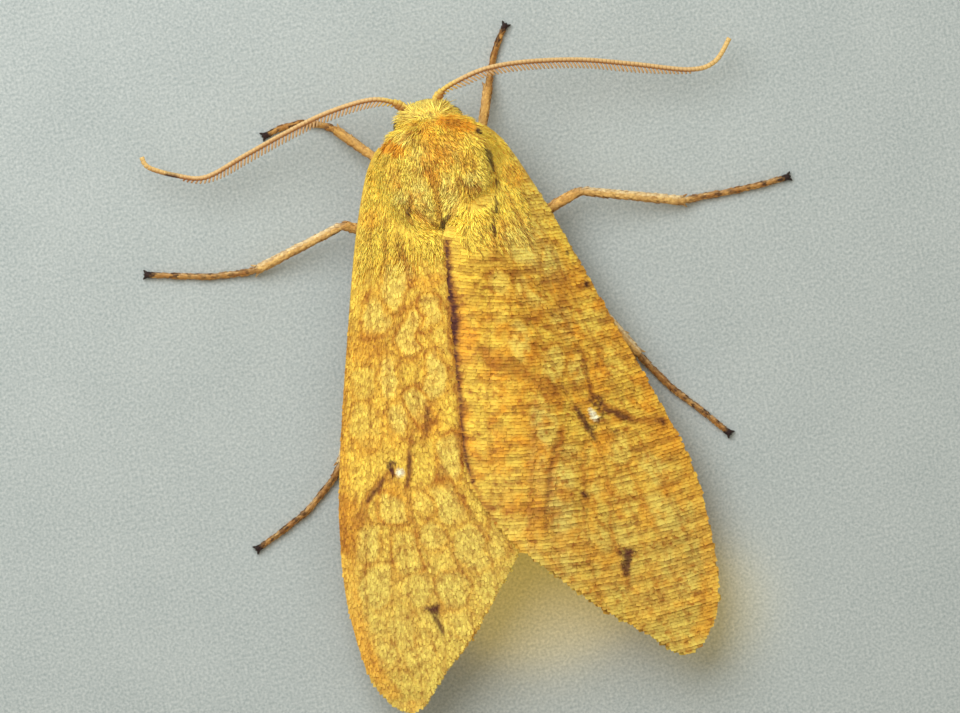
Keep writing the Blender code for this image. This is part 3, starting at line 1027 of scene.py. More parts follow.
LEFT_STROKES: tuple[Stroke, ...] = tuple(Stroke(*row) for row in (
    # The brown line on this wing just under the right wing's margin: painted shadow of the lapping right
    # wing, partly brown scales.
    (B, ((0.28, 3.65), (0.45, 4.4), (0.62, 5.3), (0.78, 6.3), (0.92, 7.4), (1.06, 8.6), (1.22, 9.9), (1.32,
     10.9), (1.46, 12), (1.52, 12.9), (1.44, 13.9)), (0.1, 0.2, 0.24, 0.3, 0.24, 0.16, 0.14, 0.14, 0.1), 0.8,
     0.1, 0.9),
    (B, ((1.3, 10.8), (1.5, 12.2), (1.5, 13.4), (1.4, 14.4)), (0.25, 0.35, 0.2), 0.6, 0.2),
    (B, ((2.3, 2.6), (2.4, 3.4), (2.32, 4.3), (2.12, 5.3)), (0.16, 0.2, 0.12), 0.6, 0.14, 0.9),
    (G, ((1.05, 5.15), (1.6, 5.2), (2.2, 5)), (0.3,), 0.6, 0.25),
    (B, ((1.1, 6.35), (1.35, 5.95), (2.1, 5.85), (2.7, 6.1), (3.2, 6.3)), (0.09,), 0.45),
    (B, ((2.4, 5.3), (2.65, 5.8), (2.9, 6.3), (3.05, 6.8)), (0.07,), 0.55, 0.08),
    (B, ((3.15, 6.6), (3.3, 7.1), (3.75, 7.05), (4.3, 6.95), (4.75, 6.9)), (0.12, 0.16), 0.7),
    (B, ((4.6, 6.2), (5, 6.1), (5.3, 6.6), (5.55, 7.3)), (0.1, 0.2), 0.55, 0.16, 0.9),
    (B, ((3.3, 7.3), (3.35, 8.4), (3.4, 9.3)), (0.07,), 0.35),
    (B, ((1.3, 9.3), (1.5, 8.6), (1.75, 7.95)), (0.08,), 0.45),
    (B, ((2.4, 9.5), (3, 9.3), (3.4, 9.6)), (0.08,), 0.4),
    (B, ((2.5, 10.2), (2.75, 10.9), (3, 11.5)), (0.22, 0.26), 0.7, 0.2, 0.8),
    (D, ((2.62, 10.5), (2.8, 10.95), (2.9, 11.3)), (0.06,), 0.5, 0.12, 0.9),
    (B, ((3.5, 11.2), (3.75, 11.9), (4, 12.8), (4.22, 13.5)), (0.14, 0.2, 0.16), 0.75, 0.1),
    (D, ((3.78, 12.05), (3.95, 12.7), (4.2, 13.45)), (0.07, 0.11, 0.05), 0.75, 0.06),
    (B, ((3, 11.75), (3.7, 11.6)), (0.14,), 0.4, 0.2),
    (D, ((4.5, 12.42), (4.65, 12.32), (4.8, 12.45), (4.72, 12.62)), (0.09,), 0.95, 0.05),
    (D, ((4.66, 12.55), (4.68, 12.85)), (0.09,), 0.9, 0.05),
    (B, ((4.75, 12.8), (5.2, 13), (5.7, 13.4), (6.1, 13.8), (6.5, 14.6)), (0.3, 0.24), 0.8, 0.14),
    (D, ((5.1, 12.95), (5.35, 13.25), (5.65, 13.45), (6, 13.75)), (0.06, 0.1, 0.05), 0.75),
    (B, ((4.22, 13.5), (4.25, 14.6), (4.3, 15.8), (4.3, 17)), (0.11, 0.08), 0.5),
    (B, ((4.3, 14.6), (4.7, 15), (5.3, 15), (5.8, 14.6), (5.7, 13.9)), (0.07,), 0.35),
    (B, ((2.7, 12.9), (2.6, 13.6), (2.2, 14.4), (1.95, 15.1)), (0.1, 0.14), 0.5, 0.16, 0.8),
    (B, ((1.7, 15.2), (1.65, 15.8), (1.3, 16.4)), (0.16, 0.1), 0.5, 0.14, 0.9),
    (B, ((0.6, 14.2), (0.85, 14.8), (1, 15.3), (1.2, 15.9)), (0.07, 0.16, 0.08), 0.6),
    (B, ((5, 15.95), (5.4, 16.2), (5.7, 16.1)), (0.07,), 0.45),
    (B, ((6.1, 16.3), (6.5, 16.35), (6.95, 16.6)), (0.08,), 0.6),
    (B, ((5.5, 16.4), (5.6, 17.2), (5.55, 17.9), (5.9, 18.3), (6.6, 18.4)), (0.07,), 0.35),
    (B, ((2.5, 17.8), (2.8, 17.45), (3.4, 17.4), (3.9, 17.8)), (0.07,), 0.45),
    (B, ((4.2, 17), (4.45, 17.2), (4.2, 17.7)), (0.07,), 0.5),
    (B, ((3.4, 19), (3.7, 18.75), (4.1, 18.75), (4.8, 18.8), (5.7, 18.9)), (0.14,), 0.4, 0.2),
    (D, ((4.02, 18.72), (4.3, 18.85), (4.55, 18.7)), (0.1, 0.2, 0.08), 0.9, 0.08, 0.7),
    (D, ((4.22, 18.85), (4.17, 19.3), (4.08, 19.95)), (0.22, 0.14, 0.04), 0.8, 0.08, 0.7),
    (B, ((4.65, 19.7), (4.55, 20.6)), (0.06,), 0.5),
    (B, ((5.05, 21), (5.6, 21.2), (6.2, 21.1)), (0.08,), 0.3, 0.2),
    (G, ((5.2, 5.2), (6, 8.4), (6.75, 11.9), (7.2, 14), (7.55, 17), (7.6, 19), (7.3, 20.8), (6.7, 22)),
     (0.12, 0.2, 0.2, 0.3, 0.3, 0.4, 0.4, 0.3), 0.5, 0.3),
    (B, ((5.9, 8.9), (6.3, 10.3), (6.6, 11.2)), (0.05, 0.12), 0.5, 0.12, 0.8),
    (B, ((7, 13.3), (7.25, 14.3), (7.45, 15.5)), (0.16, 0.22), 0.7, 0.2, 0.8),
    (B, ((6.4, 13.3), (6.65, 14.2), (6.9, 15), (7, 15.9)), (0.07,), 0.5),
    (G, ((1.5, 19.1), (2.4, 20.1), (3.6, 21.2)), (0.14,), 0.4, 0.2),
))
LEFT_BLOTS: tuple[Blot, ...] = tuple(Blot(*row) for row in (
    (W, (4.38, 12.82), (0.17, 0.15), 8, 1, 0.25, 0.15), (G, (4.6, 7.3), (0.75, 0.75), -12, 0.75),
    (G, (0.55, 7.9), (0.45, 1.1), 0, 0.8), (B, (4, 7.5), (0.35, 0.3), 0, 0.5, 0.6, 0.8),
    (G, (2.7, 11), (0.6, 0.7), 15, 0.6), (G, (6.95, 14.5), (0.45, 1.2), 14, 0.9),
    (B, (7.2, 15.2), (0.28, 0.5), 10, 0.55, 0.5, 0.8), (G, (5.6, 11.4), (0.6, 0.5), 0, 0.45),
    (B, (5.5, 11.55), (0.18, 0.16), 0, 0.5, 0.5, 0.6), (G, (4.9, 13.4), (0.6, 0.35), 20, 0.6),
    (B, (1.55, 9.9), (0.35, 0.2), 0, 0.4, 0.6, 0.6), (B, (3, 3.3), (0.14, 0.3), 0, 0.45, 0.5, 0.7),
    (G, (3.35, 2.1), (0.4, 0.4), 0, 0.6), (B, (4.95, 5.65), (0.1, 0.07), 0, 0.9, 0.4, 0.2),
    (G, (7.4, 19.9), (0.5, 1.4), -8, 0.45), (B, (7.25, 21.7), (0.15, 0.25), -20, 0.6, 0.5, 0.7),
    (G, (5.9, 22.7), (0.5, 0.2), 0, 0.4),
))
RIGHT_STROKES: tuple[Stroke, ...] = tuple(Stroke(*row) for row in (
    # The brown and dark lines along the lapping inner margin: partly brown margin scales, partly painted
    # shadow of the gap between the two wings.
    (B, SEAM, (0.14, 0.28, 0.3, 0.42, 0.44, 0.3, 0.26, 0.22, 0.2, 0.22, 0.2, 0.16, 0.1), 0.85, 0.14, 0.6),
    (D, SEAM, (0.05, 0.15, 0.2, 0.24, 0.26, 0.15, 0.1, 0.1, 0.09, 0.08, 0.08, 0.07, 0.04), 1, 0.05, 0.7),
    (G, ((-0.55, 6.2), (-0.5, 7.4), (-0.7, 8.6)), (0.4, 0.6, 0.3), 0.6, 0.3, 0.7),
    (B, ((-1.4, 13.8), (-1.25, 14.7), (-0.96, 15.3), (-0.9, 16)), (0.12, 0.08), 0.7),
    (B, ((-0.66, 14.25), (-0.8, 14.7), (-0.95, 15.1)), (0.05, 0.14), 0.6, 0.08),
    (D, ((1.92, 2.65), (1.85, 3.4), (1.7, 3.95)), (0.09, 0.07), 0.85, 0.05, 0.9),
    (B, ((1.7, 4), (1.68, 4.8)), (0.14,), 0.6, 0.12, 0.8),
    (B, ((2.25, 2), (2.05, 2.6), (1.95, 2.9)), (0.08,), 0.6),
    (B, ((0.5, 4.75), (1.1, 4.75), (1.75, 4.8), (2.08, 5.2), (2.35, 5.7)), (0.16, 0.2), 0.6, 0.14, 0.8),
    (B, ((0.3, 6.1), (0.5, 5.7), (0.9, 5.4), (1.5, 5.25)), (0.1,), 0.6, 0.12, 0.8),
    (B, ((1.8, 5), (2.1, 5.6), (2.45, 6.1)), (0.06,), 0.5),
    (B, ((4.75, 5.9), (5, 6.05), (5.25, 6.2)), (0.06,), 0.8, 0.06),
    (B, ((3.1, 6.7), (3.25, 6.3), (3.6, 6.1), (4, 5.95), (4.1, 6.6), (3.9, 7.3)), (0.1, 0.2), 0.5, 0.2, 0.9),
    (B, ((3.1, 8), (3.3, 8.5), (3.75, 8.8), (4, 8.4), (3.95, 7.9)), (0.08,), 0.5),
    (B, ((0.1, 8.4), (0.5, 9), (1.1, 9.4), (1.6, 9.7)), (0.25, 0.4, 0.3), 0.85, 0.3, 0.7),
    (B, ((1.9, 10), (2.4, 10.4), (2.75, 11)), (0.3, 0.45), 0.85, 0.25, 0.7),
    (B, ((1.85, 9.9), (2.1, 9.3), (2.5, 8.7)), (0.1,), 0.5, 0.14),
    (D, ((4.3, 9.8), (4.3, 10.7), (4.32, 11.5)), (0.035,), 0.6, 0.06, 0.6),
    (B, ((4.35, 9.4), (4.3, 10.4), (4.35, 11.4)), (0.09,), 0.5),
    (D, ((4.3, 11.55), (4.55, 11.5), (4.68, 11.8), (4.5, 12), (4.35, 11.75)), (0.14,), 0.95, 0.06),
    (D, ((3.52, 11.75), (3.72, 12.15), (3.85, 12.65), (4, 12.85), (4.05, 13.25)), (0.1, 0.2, 0.18, 0.06),
     0.9, 0.07),
    (B, ((3.4, 11.7), (3.75, 11.85), (4.1, 11.6), (4.3, 11.4)), (0.16,), 0.65, 0.14),
    (D, ((4.1, 12.72), (4.35, 12.55), (4.65, 12.2), (4.8, 12)), (0.05, 0.09), 0.8, 0.06),
    (B, ((4.7, 12), (5.1, 12.2), (5.6, 12.6), (6.1, 12.9), (6.6, 13), (7.05, 13)), (0.3, 0.34, 0.16, 0.2),
     0.85, 0.12),
    (D, ((4.8, 12.15), (5.1, 12.25), (5.35, 12.5), (5.7, 12.75)), (0.07, 0.16, 0.05), 0.85),
    (D, ((6.7, 13.05), (7.02, 13), (7.06, 13.2)), (0.08, 0.14), 0.85, 0.06),
    (D, ((4.95, 13.08), (5.05, 13.15)), (0.1,), 0.8, 0.05),
    (B, ((4.1, 13.4), (4.2, 14.7), (4.17, 15.7), (3.96, 16.8), (3.83, 18)), (0.09,), 0.45),
    (B, ((3.5, 13.75), (3.17, 14.9), (3.1, 15.5), (2.83, 16.4)), (0.1,), 0.5),
    (D, ((3.08, 15.35), (3.18, 15.5)), (0.16,), 0.95, 0.06),
    (D, ((2.3, 13.1), (2, 13.9), (1.6, 15), (1.35, 15.9), (1.15, 16.7)), (0.05, 0.07), 0.5, 0.07, 0.7),
    (B, ((2.8, 12.4), (2.3, 13.1), (2, 13.9), (1.6, 15), (1.3, 15.9)), (0.12,), 0.55, 0.12),
    (G, ((1.15, 10.6), (1.1, 12.5), (1.3, 14.5), (0.9, 16.2)), (0.4, 0.5, 0.4), 0.45, 0.4),
    (B, ((0.3, 15.4), (0.6, 15.5), (1, 15.8)), (0.3,), 0.6, 0.2, 0.9),
    (B, ((6, 15.88), (6.4, 15.82), (6.85, 15.85)), (0.08,), 0.7, 0.08, 0.8),
    (B, ((6, 17.6), (5.5, 17.5), (5, 17.2)), (0.08,), 0.35, 0.14),
    (G, ((2.9, 18), (3.3, 18.3), (3.9, 18.3)), (0.3,), 0.6, 0.3),
    (D, ((4, 18.22), (4.3, 18.28), (4.66, 18.22)), (0.1, 0.22, 0.14), 0.95, 0.08, 0.8),
    (D, ((4.25, 18.3), (4.22, 18.7), (4.15, 19.1)), (0.42, 0.3, 0.16), 0.9, 0.08, 0.8),
    (B, ((4.15, 19.1), (4.12, 19.7)), (0.12, 0.05), 0.7, 0.1, 0.8),
    (B, ((4.5, 18.35), (4.75, 18.5)), (0.14,), 0.7, 0.1, 0.8),
    (G, ((5.7, 8.1), (6.9, 12.2), (7.6, 14.6), (7.85, 17), (7.8, 19), (7.5, 20.8), (6.8, 22.2)), (0.1, 0.15,
     0.3, 0.3, 0.4, 0.4, 0.3), 0.5, 0.3),
    (B, ((7.1, 20.7), (7.06, 21.1)), (0.12,), 0.75, 0.08),
))
RIGHT_BLOTS: tuple[Blot, ...] = tuple(Blot(*row) for row in (
    # The first two wide, faint brown and dust blots over the whole wing are painted shade: the wing's middle
    # and outer part are darker where they turn from the light.
    (B, (3.5, 14), (4.6, 8.5), 0, 0.1, 0.3, 0), (U, (3.5, 14), (4.6, 8.5), 0, 0.1, 0.3, 0),
    (P, (2.4, 2.5), (2.6, 2.2), 20, 0.3, 0.4, 0.2), (W, (4.2, 12.2), (0.13, 0.28), 22, 1, 0.22, 0.12),
    (G, (-0.5, 8), (0.42, 1), 0, 0.85), (G, (4.55, 6.5), (0.95, 0.75), 10, 0.85),
    (B, (4.2, 7.2), (0.75, 0.4), 20, 0.5, 0.5, 0.9), (D, (4.63, 5.2), (0.09, 0.08), 0, 0.95, 0.3, 0.2),
    (D, (5.13, 6.7), (0.11, 0.15), 0, 1, 0.3, 0.1), (B, (5.5, 8.35), (0.25, 0.22), 0, 0.75, 0.4, 0.5),
    (B, (4.46, 8.8), (0.1, 0.09), 0, 0.8, 0.4, 0.3), (B, (6, 9.8), (0.2, 0.1), 0, 0.7, 0.4, 0.4),
    (B, (5.4, 10.3), (0.13, 0.1), 0, 0.7, 0.4, 0.4), (D, (3.45, 7.7), (0.08, 0.06), 0, 0.85, 0.4, 0.2),
    (B, (3.1, 7.65), (0.08, 0.08), 0, 0.7, 0.4, 0.2), (B, (0.88, 7.2), (0.1, 0.08), 0, 0.8, 0.4, 0.2),
    (B, (0.88, 6.85), (0.08, 0.08), 0, 0.6, 0.4, 0.2), (D, (0.9, 11.3), (0.07, 0.08), 0, 0.8, 0.4, 0.2),
    (G, (-0.35, 12.7), (0.26, 0.22), 0, 0.85, 0.4, 0.4), (G, (0.1, 15.2), (0.5, 0.7), 0, 0.5),
    (U, (1.5, 13.8), (0.42, 1.5), -8, 0.75), (U, (2.1, 15.6), (0.5, 1.3), -10, 0.55),
    (U, (2, 11.6), (0.45, 0.7), -10, 0.4), (B, (1.25, 13.8), (0.3, 1.1), -8, 0.35, 0.5, 1),
    (G, (7, 13.9), (0.7, 0.85), 20, 0.85), (B, (6.7, 13.4), (0.45, 0.4), 20, 0.55, 0.5, 0.9),
    (B, (7.2, 14.9), (0.2, 0.3), 10, 0.6, 0.5, 0.9), (B, (7.5, 17.9), (0.14, 0.16), 0, 0.7, 0.5, 0.6),
    (B, (1.83, 18.9), (0.14, 0.12), 0, 0.65, 0.5, 0.6), (P, (0.4, 17.15), (0.22, 0.22), 40, 0.9, 0.4, 0.1),
    (P, (3.1, 4.6), (0.75, 1.3), 22, 0.65), (B, (3.6, 3.4), (0.5, 0.15), 30, 0.35, 0.5, 0.8),
    (G, (3.2, 1.6), (0.5, 0.5), 0, 0.6), (G, (5, 20.6), (1, 0.8), 0, 0.25),
))


@dataclass(frozen=True)
class WingMarks:
    """The markings of one forewing."""

    strokes: tuple[Stroke, ...]
    blots: tuple[Blot, ...]
    shift: Pair = (0.0, 0.0)
    clear: float = 1.0
    dust: float = 0.25
    vein: float = 0.42
    mottle: float = 0.55
    speckle: float = 0.6
    bleach: float = 0.0

    def paint(self, places: Array) -> Array:
        """The markings at each (out, along) place.

        Args:
            places: One row for each place.

        Returns:
            One column for each Tone.
        """
        marks = bare(len(places))
        wander = noise_pair(places, 0.8, 31) + 0.45 * noise_pair(places, 0.3, 35)
        shifted = places + 0.22 * wander - self.shift
        outer = ease(places[:, 1], 11.0, 19.5)
        cloud = 0.5 + 0.5 * noise(places, 1.3, 41)
        mottle = noise(places, 0.55, 51) + 0.8 * noise(places, 0.24, 52)
        lay(marks, Tone.DUST, self.dust * outer * (0.55 + 0.45 * cloud))
        lay(marks, Tone.PALE, self.bleach * (0.3 + 0.7 * outer))
        spread = self.mottle * (1.0 - 0.5 * outer) * (0.1 + 0.9 * ease(places[:, 1], 4.0, 8.5))
        lay(marks, Tone.ORANGE, spread * ease(mottle, -0.4, 1.2))
        self._paint_cells(shifted, 1.0 - 0.45 * outer, marks)
        near = places + 0.035 * wander
        for line in VEINS:
            lay(marks, Tone.BROWN, Stroke(Tone.BROWN, line, (0.04,), self.vein, 0.09, 0.8).share(near))
        for mark in self.strokes + self.blots:
            share = mark.share(near)
            if mark.tone is Tone.WHITE:
                marks *= (1.0 - 0.9 * share)[:, None]
            lay(marks, mark.tone, share)
        grains = noise(places, 0.09, 43) + 0.5 * noise(places, 0.22, 47)
        fine = self.speckle * (0.3 + 0.7 * ease(places[:, 1], 3.0, 8.0))
        lay(marks, Tone.BROWN, fine * ease(grains, 0.3, 1.1))
        return marks

    def _paint_cells(self, places: Array, share: Array, marks: Array) -> None:
        """Adds pale cells, which meet in thin brown lines, to the markings."""
        clear = self.clear * share
        reaches = np.stack([cell.reach(places) for cell in CELLS])
        order = np.argsort(reaches, axis=0)[:2]
        first, second = np.take_along_axis(reaches, order, axis=0)
        pale, rim, half = (np.array(values)[order[0]]
                           for values in zip(*((cell.pale, cell.rim, min(cell.half)) for cell in CELLS)))
        uneven = np.clip(0.5 + 0.8 * noise(places, 0.4, 23) + 0.5 * noise(places, 0.12, 24), 0.0, 1.0)
        ring = np.abs(first - 1.0) * half
        seam = np.where(first < 1.0, (second - first) * half / 2, 9.0)
        line = np.minimum(ring, seam)
        inside = ease(line, 0.02, 0.12) * (first < 1.0)
        lay(marks, Tone.PALE, clear * pale * 0.7 * inside)
        lay(marks, Tone.ORANGE, clear * rim * 0.7 * np.exp(-((line / 0.10) ** 2)))
        lay(marks, Tone.BROWN, clear * rim * 1.7 * uneven * np.exp(-((line / 0.04) ** 2)))


@dataclass(frozen=True)
class HindMarks:
    """The plain pale markings of a hindwing."""

    vein: float = 0.25

    def paint(self, places: Array) -> Array:
        """The markings at each (out, along) place."""
        marks = bare(len(places))
        lay(marks, Tone.PALE, 0.6)
        grains = noise(places, 0.12, 53)
        lay(marks, Tone.DUST, 0.3 * ease(grains, 0.2, 0.9))
        for end in ((1.0, 15.6), (2.2, 16.9), (3.4, 17.2), (4.6, 16.2)):
            line = ((1.6, 3.0), ((1.6 + end[0]) / 2, 9.0), end)
            lay(marks, Tone.BROWN, Stroke(Tone.BROWN, line, (0.05,), self.vein, 0.1).share(places))
        return marks


# ---------------------------------------------------------------------- wings


@dataclass(frozen=True)
class WingRoof:
    """The height of the folded wings, as a roof over the back."""

    ridge_height: float = 5.30
    ridge_start: float = 3.0
    ridge_fall: float = 0.0042
    edge_height: float = 1.75
    root_rise: float = 1.15
    root_reach: float = 2.5
    root_along: float = -0.55
    tip_rise: float = 0.55
    tip_rise_start: float = 17.0
    tip_rise_end: float = 23.0
    curve: float = 1.7
    edge: tuple[Pair, ...] = ((2.86, -0.55), (3.5, 0.95), (4.35, 3.3), (5.62, 7.4), (6.9, 11.5),
                              (7.8, 14.7), (8.06, 17.8), (7.72, 20.9), (6.85, 22.4))

    def height(self, places: Array) -> Array:
        """The roof's height at each (out, along) place."""
        out, along = places[:, 0], places[:, 1]
        share = np.minimum(np.abs(out) / along_edge(self.edge, along), 1.15)
        rise = self.root_rise * np.exp(-(along - self.root_along) / self.root_reach)
        tip = self.tip_rise * ease(along, self.tip_rise_start, self.tip_rise_end)
        low = self.edge_height + rise + tip
        high = self.ridge_height - self.ridge_fall * (along - self.ridge_start) ** 2
        return low + (high - low) * (1.0 - share**self.curve)


@dataclass(frozen=True)
class WingSheet:
    """The outline and the relief of one wing."""

    side: Side
    costa: tuple[Pair, ...]
    margin: tuple[Pair, ...]
    bulge: float
    inner_lift: float
    outer_lift: float
    lap: Pair = (1.9, 4.4)
    costa_inset: float = 0.07
    root_inset: float = 0.07
    tip_inset: float = 0.30
    inset_change: Pair = (15.5, 18.5)
    half_thickness: float = 0.035
    relief: float = 1.0
    roof: WingRoof = WingRoof()

    def places(self, u: Array, v: Array) -> Array:
        """Places at shares u from root to tip, and v from the front edge to the rear edge."""
        front, rear = curve_through(self.costa, u), curve_through(self.margin, u)
        found = front + (rear - front) * v[:, None]
        found[:, 1] += self.bulge * ease(u, 0.8, 1.0) * np.sin(np.pi * v)
        return found

    def inset_shares(self, u: Array) -> tuple[Array, Array]:
        """The first and last v at each u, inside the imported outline."""
        front, rear = curve_through(self.costa, u), curve_through(self.margin, u)
        chord = np.linalg.norm(rear - front, axis=1)
        inset = self.root_inset + (self.tip_inset - self.root_inset) * ease(rear[:, 1], *self.inset_change)
        return self.costa_inset / chord, 1.0 - inset / chord

    def height(self, places: Array) -> Array:
        """The height of the membrane's middle at each place."""
        share = 1.0 - ease(places[:, 0], *self.lap)
        lift = self.outer_lift + (self.inner_lift - self.outer_lift) * share
        return self.roof.height(places) + lift + self.relief * self._relief(places)

    def _relief(self, places: Array) -> Array:
        """Raised veins, softly swollen cells and slow waves."""
        nearest = np.full(len(places), 9.0)
        for line in VEINS:
            nearest = np.minimum(nearest, polyline_distance(places, line)[0])
        vein = 0.030 * np.exp(-((nearest / 0.09) ** 2))
        swell = 0.035 * ease(nearest, 0.0, 0.5)
        waves = 0.022 * noise(places, 0.9, 61) + 0.022 * noise(places, 2.1, 67)
        return vein + swell + waves - 0.03

    def normal(self, places: Array, step: float = 0.04) -> Array:
        """The upward normals at the places, in moth millimetres."""
        along_out = np.array((step, 0.0))
        along_tail = np.array((0.0, step))
        slope_out = (self.height(places + along_out) - self.height(places - along_out)) / (2 * step)
        slope_tail = (self.height(places + along_tail) - self.height(places - along_tail)) / (2 * step)
        return unit(rows(-slope_out * self.side.value, -slope_tail, 1.0))

    def solid(self, places: Array, lift: float) -> Array:
        """The places as points, with a lift over the membrane's middle."""
        up = self.height(places) + lift
        return rows(places[:, 0] * self.side.value, places[:, 1], up)

    def grid(self, ribs: int, chords: int, end: float) -> Array:
        """Places on an even grid inside the outline, rib by rib."""
        u = np.linspace(0.004, end, ribs)
        first, last = self.inset_shares(u)
        v = first[:, None] + (last - first)[:, None] * np.linspace(0.0, 1.0, chords)[None, :]
        return self.places(np.repeat(u, chords), v.ravel())


@dataclass
class Wing:
    """A wing: its membrane, the scales on both its faces and its fringe."""

    name: str
    sheet: WingSheet
    marks: WingMarks | HindMarks
    ribs: int = 170
    chords: int = 64
    tip_share: float = 0.982
    focus: Pair = (4.8, -9.0)
    row: float = 0.122
    row_wander: float = 0.3
    row_turn: float = 22.0
    pitch: float = 0.082
    scale_size: Triple = (0.128, 0.25, 0.11)
    lift_degrees: float = 9.0
    under_thinning: float = 1.45
    fringe_length: float = 0.26
    fringe_root_length: float = 0.15
    fringe_pitch: float = 0.013
    tip_light: float = 0.35
    stripe: float = 0.25
    length_change: float = 0.2
    scatter: float = 0.4

    def build(self, bench: Bench) -> None:
        """Builds the wing's pieces.

        Args:
            bench: Where pieces are finished.
        """
        rng = np.random.default_rng(SEED + len(self.name) * 7 + self.sheet.side.value)
        self._membrane(bench)
        border = self._border()
        self._coat(bench, border, rng, upper=True)
        self._coat(bench, border, rng, upper=False)
        self._fringe(bench, rng)

    def _membrane(self, bench: Bench) -> None:
        """Shapes the membrane from a flat grid and gives it its thickness."""
        piece = Workpiece(self.name + "_membrane", bpy.ops.mesh.primitive_grid_add,
                          x_subdivisions=self.chords - 1, y_subdivisions=self.ribs - 1, size=2.0)
        flat = points_of(piece.thing)
        v = (flat[:, 0] + 1.0) / 2.0
        u = 0.004 + (self.tip_share - 0.004) * (flat[:, 1] + 1.0) / 2.0
        first, last = self.sheet.inset_shares(u)
        places = self.sheet.places(u, first + (last - first) * v)
        set_points(piece.thing, self.sheet.solid(places, 0.0))
        thing = piece.finish()
        apply_modifier(thing, "SOLIDIFY", thickness=2 * self.sheet.half_thickness, offset=0.0)
        points = points_of(thing)
        set_marks(thing, self.paint(points), 0.4 * noise(points[:, :2], 0.1, 71))
        bench.finish(thing, bench.wing, (self.name,))

    def paint(self, points: Array) -> Array:
        """The markings at points of the wing."""
        return self.marks.paint(points[:, :2] * (self.sheet.side.value, 1.0))

    def _border(self) -> Array:
        """The membrane's outline, as a closed line of places."""
        places = self.sheet.grid(self.ribs, self.chords, self.tip_share)
        places = places.reshape(self.ribs, self.chords, 2)
        return np.concatenate([places[:, 0], places[-1, 1:], places[-2::-1, -1], places[0, -2:0:-1]])

    def _fan(self, places: Array) -> tuple[Array, Array]:
        """Each place's angle and distance round the focus."""
        away = places - self.focus
        return np.arctan2(away[:, 0], away[:, 1]), np.linalg.norm(away, axis=1)

    def _rows(self, border: Array, spread: float, rng: Random) -> tuple[Array, Array]:
        """Roots in staggered rows round the focus, inside the border.

        Args:
            border: The membrane's outline.
            spread: How much wider than its own the rows lie.
            rng: Random numbers.

        Returns:
            The places, and each one's place on the fan, from 0 to 1.
        """
        angle, reach = self._fan(border)
        polar = []
        for number, radius in enumerate(np.arange(reach.min(), reach.max(), self.row * spread)):
            step = self.pitch * spread / radius
            turns = np.arange(angle.min(), angle.max(), step) + (number % 2) * step / 2
            turns = turns + rng.uniform(-0.3, 0.3, len(turns)) * step
            radii = radius + rng.normal(0.0, self.row_wander, len(turns)) * self.row
            polar.append(rows(turns, radii))
        polar = np.concatenate(polar)
        turned = rows(np.sin(polar[:, 0]), np.cos(polar[:, 0]))
        places = turned * polar[:, 1:] + self.focus
        keep = inside_outline(places, border)
        low = np.array((angle.min(), reach.min()))
        high = np.array((angle.max(), reach.max()))
        return places[keep], (polar[keep] - low) / (high - low)

    def _coat(self, bench: Bench, border: Array, rng: Random, upper: bool) -> None:
        """Lays the scales on one face of the membrane."""
        spread = 1.0 if upper else self.under_thinning
        places, chart = self._rows(border, spread, rng)
        count = len(places)
        face = 1.0 if upper else -1.0
        ahead = unit(places - self.focus)
        ahead = ahead + 0.16 * rng.normal(size=(count, 2))
        lie = rows(ahead[:, 0] * self.sheet.side.value, ahead[:, 1], 0.0)
        sizes = np.array(self.scale_size) * rng.uniform(0.8, 1.2, (count, 1)) * spread ** 0.5
        sizes[:, 1] = self.scale_size[1] * spread ** 0.5 * (
            1.0 + self.length_change * rng.uniform(-1.0, 1.0, count))
        shade = rng.normal(0.0, self.scatter, count) + 0.35 * noise(places, 0.17, 57)
        angle, reach = self._fan(places)
        row_at = rows(reach / self.row, angle * self.row_turn)
        shade = shade + self.stripe * noise(row_at, 1.0, 59)
        coat = Coat(self.sheet.solid(places, face * self.sheet.half_thickness), lie,
                    self.sheet.normal(places) * face, sizes, chart, self.paint, shade,
                    self.tip_light)
        lift = np.radians(self.lift_degrees) + rng.normal(0.0, 0.06, count)
        word = "upper" if upper else "under"
        thing = coat.build(f"{self.name}_{word}_scales", bench.scale, lift)
        bench.finish(thing, bench.wing, smooth=False)

    def _fringe(self, bench: Bench, rng: Random) -> None:
        """Lays the hair-scales along the membrane's edges."""
        ribs, chords = self.ribs * 3, self.chords * 3
        grid = self.sheet.grid(ribs, chords, self.tip_share).reshape(ribs, chords, 2)
        runs = (grid[:, -1], grid[-1, ::-1], grid[::-1, 0])
        line = np.concatenate(runs)
        way = stations(line)[0]
        count = int(way[-1] / self.fringe_pitch)
        at = np.sort(rng.uniform(0.0, way[-1], count))
        places = between(at, way, line)
        run = between(at + 0.15, way, line) - between(at - 0.15, way, line)
        outward = unit(rows(-run[:, 1], run[:, 0]))
        middle = grid.reshape(-1, 2).mean(axis=0)
        flip = np.sign(np.sum(outward * (places - middle), axis=1))
        rear_edge = way[ribs - 1]
        outer = ease(places[:, 1], *self.sheet.inset_change) * (at < way[ribs + chords - 1])
        lean = np.where(at < rear_edge, 0.35, 0.2) + 1.6 * (1.0 - outer)
        ahead = unit(outward * flip[:, None] + lean[:, None] * unit(places - self.focus)
                     + 0.12 * rng.normal(size=(count, 2)))
        length = self.fringe_root_length + (self.fringe_length - self.fringe_root_length) * outer
        length = length * rng.uniform(0.7, 1.08, count)
        sizes = rows(0.5 + 0.3 * rng.random(count), length / 0.7, 0.5)
        lie = rows(ahead[:, 0] * self.sheet.side.value, ahead[:, 1], rng.normal(0.0, 0.04, count))
        roots = self.sheet.solid(places - ahead * 0.05, 0.0)
        roots[:, 2] += rng.uniform(-0.03, 0.03, count)
        chart = rows(at / way[-1], rng.random(count))
        coat = Coat(roots, lie, self.sheet.normal(places), sizes, chart, self.paint,
                    rng.normal(0.1, 0.35, count), whole=True)
        thing = coat.build(self.name + "_fringe", bench.fringe_hair, np.zeros(count))
        bench.finish(thing, bench.wing, smooth=False)


